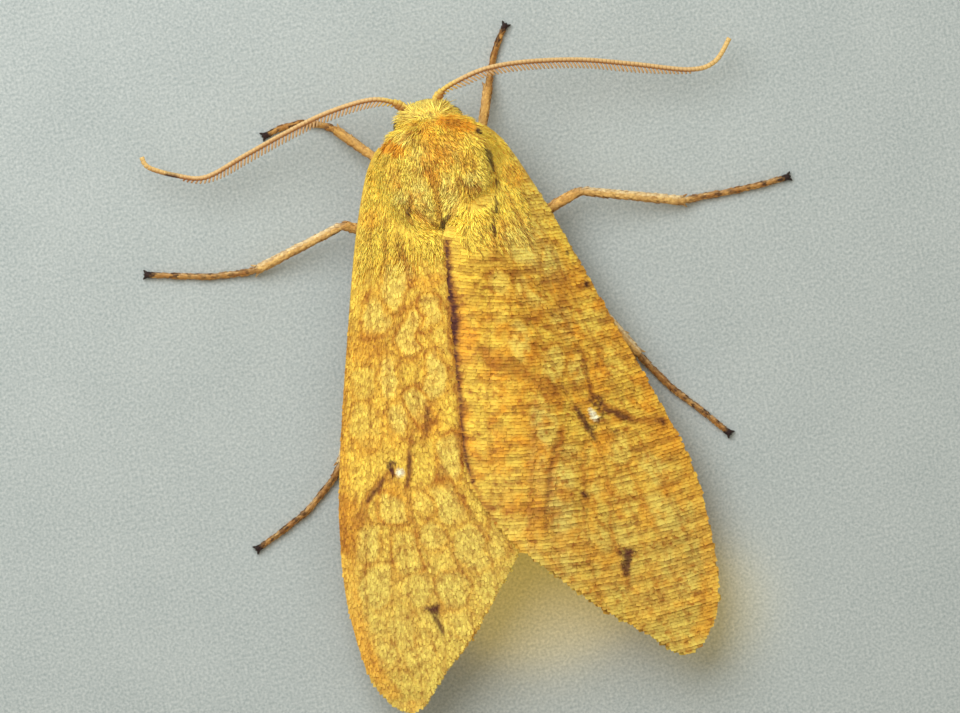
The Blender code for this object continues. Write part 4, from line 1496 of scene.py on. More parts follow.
def model_scale() -> Template:
    """Shapes one wing scale, narrow at its root, broad and blunt at its tip."""
    piece = Workpiece("scale", bpy.ops.mesh.primitive_circle_add, vertices=5, radius=0.5,
                      fill_type="TRIFAN", rotation=(0.0, 0.0, math.pi))
    bpy.ops.object.transform_apply(location=True, rotation=True, scale=True)
    piece.pick(lambda co: co.y > 0.3).resize(1.15, 1.0, 1.0).move(0.0, 0.06, 0.0)
    piece.pick(lambda co: abs(co.x) > 0.4).move(0.0, -0.02, 0.0)
    piece.pick(lambda co: co.xy.length < 0.1).move(0.0, 0.08, 0.22)
    piece.pick(lambda co: abs(co.z) < 0.01).fill()
    piece.pick(lambda co: True).move(0.0, 0.5, 0.0)
    return Template.taken_from(piece.finish(triangles=True))


def model_hair(width: float, length: float, rise: float) -> Template:
    """Shapes one hair-scale: a three-sided blade that rises and then lies down.

    Args:
        width: Its width at the root.
        length: Its length.
        rise: How high its middle stands.

    Returns:
        The hair, pointing to +Y.
    """
    piece = Workpiece.ring("hair", 3, width / math.sqrt(3.0)).resize(1.0, 1.0, 0.32)
    piece.extrude(0.0, length * 0.4, rise).resize(1.05, 1.0, 0.9, (0.0, length * 0.4, rise))
    piece.extrude(0.0, length * 0.35, rise * 0.5)
    piece.resize(0.72, 1.0, 0.7, (0.0, length * 0.75, rise * 1.5))
    piece.extrude(0.0, length * 0.25, 0.0).close()
    return Template.taken_from(piece.finish(triangles=True))


# ----------------------------------------------------------------------- body


BODY_STROKES: tuple[Stroke, ...] = tuple(Stroke(*row) for row in (
    (B, ((0.38, 0.5), (0.36, 1.2), (0.38, 1.9), (0.4, 2.7)), (0.14, 0.26, 0.22, 0.12), 0.7, 0.14, 1),
    (D, ((0.12, 2.68), (0.28, 2.82), (0.42, 3)), (0.08, 0.13, 0.08), 0.9, 0.05, 0.8),
    (D, ((0.4, 2.95), (0.36, 3.35), (0.32, 3.8)), (0.08, 0.07), 0.8, 0.06, 0.9),
    (B, ((1.35, 1.3), (1.38, 2), (1.05, 2.55), (0.6, 2.85)), (0.05, 0.1), 0.6, 0.1, 0.9),
    (B, ((-0.7, 1.2), (-0.62, 2), (-0.2, 2.6), (0.2, 2.85)), (0.05, 0.1), 0.5, 0.1, 0.9),
    (B, ((0.7, 0.55), (0.85, 0.75), (0.95, 0.65)), (0.06,), 0.8, 0.06),
    (D, ((1.58, 1.95), (1.66, 2.1), (1.68, 2.2)), (0.06, 0.12, 0.08), 0.8, 0.06, 0.6),
    (B, ((1.5, 1.6), (1.62, 2.2), (1.55, 2.6)), (0.12, 0.26, 0.1), 0.7, 0.12, 0.8),
    (D, ((2.92, 0.7), (2.86, 0.98), (2.93, 1.38)), (0.05, 0.06, 0.04), 0.9, 0.04, 0.4),
    (B, ((-0.75, 1.1), (-0.95, 1.55), (-1.2, 1.9), (-1.5, 1.8)), (0.08, 0.16), 0.75, 0.1, 0.9),
    (D, ((-2.22, 0.36), (-2.28, 0.6), (-2.34, 1.1)), (0.2, 0.14, 0.1), 1, 0.06, 0.1),
    (D, ((-2.3, 1.6), (-2.2, 2.2), (-2.05, 2.9)), (0.09,), 0.9, 0.05, 0.7),
    (B, ((-2.38, 0.9), (-2.4, 1.3), (-2.12, 1.8)), (0.08,), 0.9, 0.06, 0.9),
    (D, ((-1.98, -0.75), (-2.1, -0.6)), (0.14,), 1, 0.05, 0.2),
    (G, ((0.1, -0.9), (0, -0.2), (0.2, 0.5)), (0.6, 0.8), 0.55, 0.4, 0.8),
    (G, ((-0.4, 0.1), (-0.9, -0.4), (-1.3, -1)), (0.5, 0.4), 0.6, 0.35, 0.8),
    (G, ((-0.6, -1.35), (-1.1, -1.2), (-1.7, -0.9)), (0.3, 0.5, 0.3), 0.95, 0.25, 0.6),
    (B, ((-0.9, -1.3), (-1.25, -1.15)), (0.12, 0.2), 0.6, 0.2, 0.9),
    (B, ((1.4, -1), (0.9, -1.15), (0.4, -1.1)), (0.06, 0.1), 0.7, 0.08, 1),
    (B, ((0.95, -1.5), (0.5, -1.5)), (0.06,), 0.6, 0.08, 1),
    (G, ((2.15, -0.95), (1.85, -0.75), (1.5, -0.45)), (0.3, 0.4), 1, 0.2, 0.6),
    (B, ((2.1, -0.9), (1.8, -0.7)), (0.16,), 0.5, 0.2, 0.9),
))
BODY_BLOTS: tuple[Blot, ...] = tuple(Blot(*row) for row in (
    (U, (0.9, 0.3), (0.5, 0.8), 10, 0.35, 0.5, 0.6), (U, (-0.6, 0.2), (0.4, 0.8), -10, 0.3, 0.5, 0.6),
    (P, (0.95, 1.85), (0.36, 0.85), -6, 0.75, 0.4, 0.3), (P, (-0.15, 1.9), (0.42, 0.8), 8, 0.65, 0.4, 0.3),
    (U, (0.9, 1.7), (0.4, 0.7), -6, 0.3, 0.5, 0.5), (U, (-0.2, 1.8), (0.4, 0.6), 8, 0.35, 0.5, 0.5),
    (P, (1.85, 1.5), (0.36, 0.26), 0, 1, 0.4, 0.2), (P, (-1.3, 1.45), (0.42, 0.34), 0, 1, 0.5, 0.3),
    (P, (1.25, -0.95), (0.35, 0.25), 0, 0.9), (U, (0.55, -0.35), (0.45, 0.45), 0, 0.5, 0.5, 0.7),
    (B, (0.65, -0.6), (0.3, 0.2), 0, 0.5, 0.5, 0.9), (B, (-0.8, 0.5), (0.4, 0.3), 30, 0.45, 0.5, 0.9),
    (G, (-1.3, 0.6), (0.4, 0.5), 0, 0.5), (G, (2, 0.6), (0.4, 0.6), 0, 0.35),
    (G, (0.3, 1), (0.25, 0.4), 0, 0.7),
))


def paint_body(points: Array) -> Array:
    """The markings of the head, thorax and abdomen.

    Args:
        points: One (X to the left, along, up) row for each place.

    Returns:
        One column for each Tone.
    """
    places = points[:, :2]
    marks = bare(len(points))
    on_back = ease(points[:, 2], 3.4, 4.4)
    on_head = 1.0 - ease(points[:, 1], -1.95, -1.55)
    lay(marks, Tone.PALE, 0.7 * on_head)
    lay(marks, Tone.ORANGE, 0.08 * on_head)
    cloud = 0.5 + 0.5 * noise(points, 0.9, 83)
    lay(marks, Tone.PALE, 0.45 * cloud * (1.0 - on_head))
    below = 1.0 - ease(points[:, 2], 2.2, 3.6)
    lay(marks, Tone.DUST, 0.35 * below * (1.0 - on_head))
    wander = 0.06 * noise_pair(places, 0.4, 89)
    for mark in BODY_STROKES + BODY_BLOTS:
        lay(marks, mark.tone, mark.share(places + wander) * on_back)
    behind = ease(points[:, 1], 4.2, 5.2)
    bands = 0.5 + 0.5 * np.cos(2 * np.pi * (points[:, 1] - 3.2) / 1.55)
    lay(marks, Tone.ORANGE, behind * 0.4 * bands * ease(points[:, 2], 2.4, 3.4))
    mottle = noise(points, 0.5, 99) + 0.7 * noise(points, 0.22, 100)
    lay(marks, Tone.ORANGE, 0.42 * ease(mottle, 0.0, 1.2) * (1.0 - 0.8 * on_head))
    grains = noise(points, 0.12, 101) + 0.5 * noise(points, 0.3, 102)
    lay(marks, Tone.BROWN, 0.75 * ease(grains, 0.5, 1.2) * (1.0 - 0.8 * on_head))
    return marks


@dataclass
class SkinSurface:
    """A skin's triangles, from which roots for its coat are drawn."""

    points: Array
    normals: Array
    triangles: Array

    @classmethod
    def taken_from(cls, thing: Thing) -> "SkinSurface":
        """Reads an object's surface."""
        mesh = thing.data
        mesh.calc_loop_triangles()
        triangles = np.zeros(len(mesh.loop_triangles) * 3, np.int32)
        mesh.loop_triangles.foreach_get("vertices", triangles)
        normals = np.zeros(len(mesh.vertices) * 3, np.float32)
        mesh.vertex_normals.foreach_get("vector", normals)
        return cls(points_of(thing), normals.reshape(-1, 3).astype(float), triangles.reshape(-1, 3))

    def draw(self, count: int, weight: Callable[[Array], Array], rng: Random) -> tuple[Array, Array]:
        """Draws roots at random, more of them where the weight is greater.

        Args:
            count: How many roots are drawn.
            weight: The density wanted at given points.
            rng: Random numbers.

        Returns:
            The roots and their normals.
        """
        corners = self.points[self.triangles]
        area = np.linalg.norm(np.cross(corners[:, 1] - corners[:, 0], corners[:, 2] - corners[:, 0]), axis=1)
        chance = area * weight(corners.mean(axis=1))
        chosen = rng.choice(len(area), size=count, p=chance / chance.sum())
        share = rng.random((count, 2))
        flip = share.sum(axis=1) > 1.0
        share[flip] = 1.0 - share[flip]
        mix = np.concatenate([1.0 - share.sum(axis=1, keepdims=True), share], axis=1)[:, :, None]
        roots = (corners[chosen] * mix).sum(axis=1)
        return roots, unit((self.normals[self.triangles[chosen]] * mix).sum(axis=1))


@dataclass(frozen=True)
class Lobe:
    """A soft swelling of the thorax under its fur, such as a collar or shoulder lobe."""

    centre: Triple
    half: Triple
    rise: float

    def swell(self, points: Array) -> Array:
        """How far each point is swollen."""
        away = (points - self.centre) / self.half
        return self.rise * np.exp(-np.sum(away**2, axis=1))


@dataclass
class FurPatch:
    """One stretch of the body's fur."""

    name: str
    count: int
    span: Pair
    flank: Pair
    size: Triple
    lift_degrees: float
    clumping: float = 0.5
    edge: float = 0.2
    ceiling: float = 9.0

    def weight(self, points: Array) -> Array:
        """How densely the hairs stand at each point."""
        out, along = np.abs(points[:, 0]), points[:, 1]
        span = ease(along, self.span[0] - self.edge, self.span[0] + self.edge)
        span = span * (1.0 - ease(along, self.span[1] - self.edge, self.span[1] + self.edge))
        inner = ease(out, self.flank[0] - self.edge, self.flank[0])
        outer = 1.0 - ease(out, self.flank[1], self.flank[1] + self.edge)
        under = 1.0 - ease(points[:, 2], self.ceiling - 0.5, self.ceiling)
        return span * inner * outer * under * (0.4 + 0.6 * ease(points[:, 2], 2.4, 4.0)) + 1e-9


@dataclass
class Body:
    """The head, thorax and abdomen in one skin, with their fur."""

    nodes: tuple[str, ...] = ("head", "palp_left", "palp_right", "thorax", "abdomen_front",
                              "abdomen_middle", "abdomen_rear")
    bridge: float = 0.09
    coat_depth: float = 0.26
    voxel: float = 0.13
    cast: tuple[Pair, ...] = ((-1.85, 1.90), (-1.62, 2.35), (-1.05, 2.65), (0.0, 2.76), (1.2, 2.80),
                              (2.2, 2.50), (2.8, 1.95), (3.1, 1.30), (3.5, 1.30))
    shield: tuple[Pair, ...] = ((-1.85, 1.55), (-1.4, 1.90), (-1.0, 2.18), (-0.6, 2.40), (-0.2, 2.48),
                                (0.6, 2.42), (1.3, 2.30), (1.8, 2.05), (2.3, 1.70), (2.7, 1.35),
                                (3.0, 1.0), (3.5, 0.8))
    shield_tip: Pair = (0.41, 3.1)
    press: float = 0.25
    lobes: tuple[Lobe, ...] = (
        Lobe((0.95, -1.35, 5.0), (0.9, 0.45, 0.8), 0.16),
        Lobe((-0.95, -1.35, 5.0), (0.9, 0.45, 0.8), 0.16),
        Lobe((1.8, 0.4, 4.9), (0.45, 1.3, 1.0), 0.20),
        Lobe((-1.8, 0.4, 4.9), (0.45, 1.3, 1.0), 0.20),
        Lobe((0.95, 1.8, 5.8), (0.4, 0.8, 0.8), 0.14),
        Lobe((-0.15, 1.8, 5.8), (0.4, 0.8, 0.8), 0.14),
    )
    patches: tuple[FurPatch, ...] = (
        FurPatch("head_fur", 6600, (-3.2, -1.45), (0.0, 3.0), (0.7, 0.45, 0.5), 3.0, 0.14),
        FurPatch("brow_fur", 2100, (-2.1, -1.2), (0.55, 1.4), (0.7, 0.95, 0.5), 6.0, 0.08, 0.1),
        FurPatch("thorax_fur", 4800, (-1.85, 3.2), (0.0, 3.2), (1.1, 0.8, 0.8), 9.0, 0.5, ceiling=4.7),
        FurPatch("abdomen_fur", 5200, (2.6, 16.0), (0.0, 3.0), (1.8, 1.3, 1.0), 9.0, 0.3),
    )

    def build(self, bench: Bench, mantle: "Mantle") -> None:
        """Builds the skin and its fur.

        Args:
            bench: Where pieces are finished.
            mantle: The long hairs over the thorax and the wings' bases.
        """
        skin = self._skin(bench.place)
        surface = SkinSurface.taken_from(skin)
        mantle.build(bench, surface)
        rng = np.random.default_rng(SEED)
        for patch in self.patches:
            self._fur(bench, surface, patch, rng)
        points = points_of(skin)
        set_marks(skin, paint_body(points), 0.3 * noise(points, 0.12, 103))
        bench.finish(skin, bench.fur, self.nodes)

    def _skin(self, place: BodyFrame) -> Thing:
        """Joins copies of the parts, closes their cuts and draws them in."""
        copies = []
        for name in self.nodes:
            data = frame["nodes"][name].data.copy()
            copy = bpy.data.objects.new(name + "_copy", data)
            bpy.context.scene.collection.objects.link(copy)
            set_points(copy, place.to_moth(points_of(copy)))
            copies.append(copy)
        skin = join_objects(copies, "body_skin")
        bpy.ops.object.mode_set(mode="EDIT")
        bpy.ops.mesh.select_all(action="SELECT")
        bpy.ops.mesh.remove_doubles(threshold=0.002)
        bpy.ops.mesh.customdata_custom_splitnormals_clear()
        bpy.ops.object.mode_set(mode="OBJECT")
        for strength, rounds in ((self.bridge, 6), (-(self.bridge + self.coat_depth), 4)):
            apply_modifier(skin, "DISPLACE", strength=strength, mid_level=0.0)
            apply_modifier(skin, "REMESH", mode="VOXEL", voxel_size=self.voxel)
            apply_modifier(skin, "SMOOTH", factor=0.5, iterations=rounds)
        set_points(skin, self._shaped(points_of(skin)))
        surface = SkinSurface.taken_from(skin)
        rise = sum(lobe.swell(surface.points) for lobe in self.lobes)
        set_points(skin, surface.points + surface.normals * rise[:, None])
        return skin

    def _shaped(self, points: Array) -> Array:
        """Draws the upper thorax in to the shield's outline."""
        x, along, up = points.T
        cast, shield = np.array(self.cast), np.array(self.shield)
        wide = np.interp(along, *cast.T) - self.coat_depth
        narrow = np.interp(along, *shield.T)
        part = ease(along, -2.0, -1.6) * (1.0 - ease(along, 3.2, 3.5))
        part = part * ease(up, 2.6, 3.8)
        shifted = self.shield_tip[0] * ease(along, 0.8, self.shield_tip[1]) * part
        press = self.press * ease(up, 3.6, 5.4) * ease(along, -1.9, -1.2)
        press = press + self.press * part * ease(along, 1.6, 2.9)
        return rows(x * (1.0 + part * (narrow / wide - 1.0)) + shifted, along, up - press)

    def _lie(self, roots: Array) -> Array:
        """The direction in which the fur lies at each root."""
        x, along, up = roots.T
        sideways = np.clip(x / 2.2, -1.0, 1.0)
        head = (1.0 - ease(along, -2.0, -1.6))[:, None]
        low = 1.0 - ease(up, 2.6, 4.4)
        flow = rows(0.22 * sideways, 1.0, -0.4 * low)
        to_tip = rows(self.shield_tip[0] - x, self.shield_tip[1] + 0.5 - along, 0.0)
        rear = ease(along, 0.5, 1.6) * (1.0 - ease(along, 3.0, 3.4))
        rear = (rear * (1.0 - ease(np.abs(x - 0.3), 1.2, 1.8)) * (up > 3.4))[:, None]
        flow = flow * (1.0 - rear) + unit(to_tip) * rear
        front = rows(0.5 * sideways, -0.8, -1.0)
        flow = unit(flow * (1.0 - head) + front * head)
        reach = np.where(x > 0, 0.5, 0.8)
        brow = (ease(np.abs(x), 0.3, 0.8) * np.exp(-(((along + 1.75) / reach) ** 2)))[:, None]
        aside = rows(np.where(x > 0, 0.95, -0.3), 0.7, -0.2)
        return unit(flow * (1.0 - brow) + aside * brow)

    @staticmethod
    def _roof_eyes(roots: Array, normals: Array) -> Array:
        """Turns the hairs above the eyes level, so that they stand out over them."""
        x, along, up = roots.T
        near = ease(np.abs(x), 0.45, 0.8) * np.exp(-(((along + 1.7) / 0.42) ** 2))
        near = near * ease(up, 2.9, 3.2) * np.where(x > 0, 1.6, 0.35)
        return unit(normals + rows(0.0, 0.0, near))

    def _fur(self, bench: Bench, surface: SkinSurface, patch: FurPatch, rng: Random) -> None:
        """Lays one stretch of fur."""
        roots, normals = surface.draw(patch.count, patch.weight, rng)
        normals = self._roof_eyes(roots, normals)
        count = len(roots)
        turn = rows(*(noise(roots, 0.42, 141 + axis) + 0.6 * noise(roots, 0.2, 151) for axis in range(3)))
        lie = self._lie(roots) + patch.clumping * turn + 0.16 * rng.normal(size=(count, 3))
        sizes = np.array(patch.size) * rng.uniform(0.7, 1.2, (count, 1))
        shade = rng.normal(0.0, 0.36, count) + 0.4 * noise(roots, 0.22, 161)
        angle = np.arctan2(roots[:, 0], roots[:, 2] - 3.2) / (2 * np.pi) + 0.5
        start, end = patch.span
        chart = rows(angle, (roots[:, 1] - start + 0.3) / (end - start + 0.6))
        lift = np.radians(patch.lift_degrees) * rng.uniform(0.3, 1.7, count)
        coat = Coat(roots - normals * 0.02, lie, normals, sizes, chart, paint_body, shade, 0.3, whole=True)
        bench.finish(coat.build(patch.name, bench.fur_hair, lift), bench.fur)


def soft_top(first: Array, second: Array, reach: float) -> Array:
    """The higher of two surfaces, with a fillet where they meet.

    Args:
        first: The one's heights.
        second: The other's heights.
        reach: The difference of height over which the fillet runs.

    Returns:
        The heights.
    """
    share = np.clip(0.5 + 0.5 * (first - second) / reach, 0.0, 1.0)
    return second + (first - second) * share + reach * share * (1.0 - share)


@dataclass
class Mantle:
    """The long hairs that hide where the thorax ends and the wings begin."""

    left: Wing
    right: Wing
    count: int = 18000
    pitch: float = 0.08
    corner: Pair = (-3.6, -2.2)
    cells: tuple[int, int] = (120, 90)
    fillet: float = 1.3
    edge: tuple[Pair, ...] = ((1.0, -1.95), (1.45, -1.80), (1.80, -1.50), (2.12, -1.15), (2.45, -0.80),
                              (2.78, -0.40), (3.10, 0.15), (3.42, 0.95), (4.27, 3.30), (4.60, 4.60))
    fade: Pair = (2.4, 4.6)
    hair_size: Triple = (0.85, 0.66, 0.6)
    lift_degrees: float = 6.0
    shield_tip: Pair = (0.41, 3.3)

    def build(self, bench: Bench, skin: SkinSurface) -> None:
        """Lays the hairs of both sides.

        Args:
            bench: Where pieces are finished.
            skin: The body's skin.
        """
        rng = np.random.default_rng(SEED + 5)
        heights = self._heights(skin)
        slopes = np.gradient(heights, self.pitch)
        low = np.array(self.corner)
        high = low + np.array(self.cells) * self.pitch
        places = rng.uniform(low, high, (self.count * 6, 2))
        reach = along_edge(self.edge, places[:, 1], left=-1.0)
        steep = np.hypot(*(self._at(slope, places) for slope in slopes))
        chance = np.minimum(np.hypot(1.0, steep), 3.0) / 3.0
        chance = chance * (1.0 - ease(places[:, 1], *self.fade))
        inset = 0.04 + 0.11 * ease(places[:, 1], -1.3, -0.6)
        keep = (np.abs(places[:, 0]) < reach - inset) & (rng.random(len(places)) < chance)
        keep = keep & ((self._at(heights, places) > 3.1) | (places[:, 1] > -0.35))
        places = places[keep][:self.count]
        count = len(places)
        normals = unit(rows(*(-self._at(slope, places) for slope in slopes), 1.0))
        roots = np.column_stack([places, self._at(heights, places)])
        turn = noise_pair(places, 0.45, 171) + 0.6 * noise_pair(places, 0.18, 175)
        lie = self._lie(places) + 0.42 * turn + 0.15 * rng.normal(size=(count, 2))
        lie = np.column_stack([lie, np.zeros(count)])
        sizes = np.array(self.hair_size) * rng.uniform(0.7, 1.25, (count, 1))
        shade = rng.normal(0.0, 0.4, count) + 0.3 * noise(places, 0.2, 179)
        # Painted light: hairs away from the middle of the thorax are made lighter, most of all on the right
        # side, where the sloping shoulder and the wing's base get less light.
        outside = np.maximum(ease(places[:, 1], 1.2, 2.8), ease(np.abs(places[:, 0]), 1.8, 2.6))
        shade = shade + outside * np.where(places[:, 0] > 0.0, 0.22, 0.5)
        shade = np.where(rng.random(count) < 0.10, -1.0, shade)
        lift = np.radians(self.lift_degrees) * rng.uniform(0.2, 1.8, count)
        chart = (places - low) / (high - low)
        for side in Side:
            own = places[:, 0] * side.value > 0.0
            coat = Coat(roots[own], lie[own], normals[own], sizes[own], chart[own], self._paint,
                        shade[own], 0.3, whole=True)
            thing = coat.build("mantle_fur_" + side.word, bench.fur_hair, lift[own])
            bench.finish(thing, bench.fur)

    def _heights(self, skin: SkinSurface) -> Array:
        """The surface that the hairs are rooted on, as a grid of heights."""
        tree = BVHTree.FromPolygons(skin.points.tolist(), skin.triangles.tolist())
        x, along = (start + np.arange(steps) * self.pitch for start, steps in zip(self.corner, self.cells))
        places = np.stack(np.meshgrid(x, along, indexing="ij"), axis=-1).reshape(-1, 2)
        dome = np.full(len(places), -5.0)
        for index, (px, py) in enumerate(places):
            hit = tree.ray_cast(Vector((px, py, 12.0)), Vector((0.0, 0.0, -1.0)))[0]
            if hit is not None:
                dome[index] = hit.z
        at = places[:, 0]
        leftward = ease(at, -0.4, 0.4)
        mirror = places * (-1.0, 1.0)
        roof = (self.left.sheet.height(places) * leftward
                + self.right.sheet.height(mirror) * (1.0 - leftward))
        beyond = np.abs(at) - along_edge(self.edge, places[:, 1])
        roof = roof + 0.08 - 3.0 * ease(beyond, 0.0, 0.5)
        roof = roof - 3.0 * ease(-places[:, 1], 0.0, 1.4)
        middle = (1.0 - ease(np.abs(at), 0.9, 2.0)) * (1.0 - ease(places[:, 1], 1.4, 2.7))
        roof = roof - 1.6 * middle
        top = soft_top(dome, roof, self.fillet).reshape(self.cells)
        for _ in range(8):
            for axis in (0, 1):
                top = 0.5 * top + 0.25 * (np.roll(top, 1, axis) + np.roll(top, -1, axis))
        return top

    def _at(self, grid: Array, places: Array) -> Array:
        """A grid's values between its own places."""
        scaled = np.clip((places - self.corner) / self.pitch, 0.0, np.array(self.cells) - 1.001)
        index = scaled.astype(int)
        (a, b), (i, j) = (scaled - index).T, index.T
        return ((1 - a) * (1 - b) * grid[i, j] + a * (1 - b) * grid[i + 1, j]
                + (1 - a) * b * grid[i, j + 1] + a * b * grid[i + 1, j + 1])

    def _lie(self, places: Array) -> Array:
        """The direction in which the hairs lie, seen from above."""
        x, along = places.T
        flow = rows(0.16 * x * (1.0 + 0.6 * ease(-along, 0.0, 1.4)), 1.0)
        rear = ease(along, 0.6, 1.8) * (1.0 - ease(along, 2.9, 3.5))
        rear = (rear * (1.0 - ease(np.abs(x - 0.35), 1.0, 1.6)))[:, None]
        return unit(flow * (1.0 - rear) + unit(np.array(self.shield_tip) - places) * rear)

    def _paint(self, points: Array) -> Array:
        """The markings of the thorax and of the wing's base under it."""
        marks = paint_body(points)
        leftward = points[:, :1] > 0.35
        wing = np.where(leftward, self.left.paint(points), self.right.paint(points))
        outside = ease(points[:, 1], 2.6, 3.4)
        outside = np.maximum(outside, ease(np.abs(points[:, 0]), 1.8, 2.6))[:, None]
        return np.maximum(marks * (1.0 - 0.4 * outside), wing * outside)


# ---------------------------------------------------------------------- limbs


@dataclass
class Limb:
    """A round limb laid along a path of (out, along, up) points."""

    path: Array
    side: Side
    step: float = 0.12

    @property
    def length(self) -> float:
        """The path's length."""
        return float(stations(self.path)[1].sum())

    def frames(self, ways: Array) -> tuple[Array, Array, Array, Array]:
        """Centres, directions, sideways and upward axes at distances along the path."""
        stops = stations(self.path)[0]
        mirror = np.array((self.side.value, 1.0, 1.0))
        centre = between(ways, stops, self.path) * mirror
        ahead = between(ways + self.step, stops, self.path)
        ahead = unit((ahead - between(ways - self.step, stops, self.path)) * mirror)
        across = unit(np.cross(ahead, (0.0, 0.0, 1.0)))
        return centre, ahead, across, unit(np.cross(across, ahead))

    def frame_at(self, way: float) -> tuple[Array, Array, Array, Array]:
        """The centre and the three axes at one distance along the path."""
        return tuple(axis[0] for axis in self.frames(np.array([way])))

    def ways_of(self, points: Array, samples: int = 240, block: int = 4000) -> Array:
        """How far along the path each point lies.

        Args:
            points: The points, in moth millimetres with X to the left.
            samples: How many places along the path are tried.
            block: How many points are worked on at a time.

        Returns:
            One distance for each point.
        """
        ways = np.linspace(0.0, self.length, samples)
        centres = self.frames(ways)[0]
        nearest = [np.argmin(np.sum((points[start:start + block, None] - centres) ** 2, axis=2),
                             axis=1) for start in range(0, len(points), block)]
        return ways[np.concatenate(nearest)]

    def lay(self, points: Array) -> Array:
        """Lays points of a straight limb, which runs along +Y, on the path."""
        centre, _, across, up = self.frames(points[:, 1])
        return centre + across * points[:, :1] + up * points[:, 2:]


def rounded_path(corners: Sequence[Triple], reach: float) -> Array:
    """A path through corners that are each rounded off.

    Args:
        corners: The path's corners.
        reach: How far from each corner the rounding starts.

    Returns:
        The path's points.
    """
    stops = [np.asarray(c, float) for c in corners]
    path = [stops[0]]
    for before, corner, after in zip(stops, stops[1:], stops[2:]):
        near = corner + unit(before - corner) * min(reach, 0.4 * np.linalg.norm(before - corner))
        far = corner + unit(after - corner) * min(reach, 0.4 * np.linalg.norm(after - corner))
        for share in np.linspace(0.0, 1.0, 5):
            path.append((1 - share) ** 2 * near + 2 * share * (1 - share) * corner + share**2 * far)
    path.append(stops[-1])
    return np.array(path)


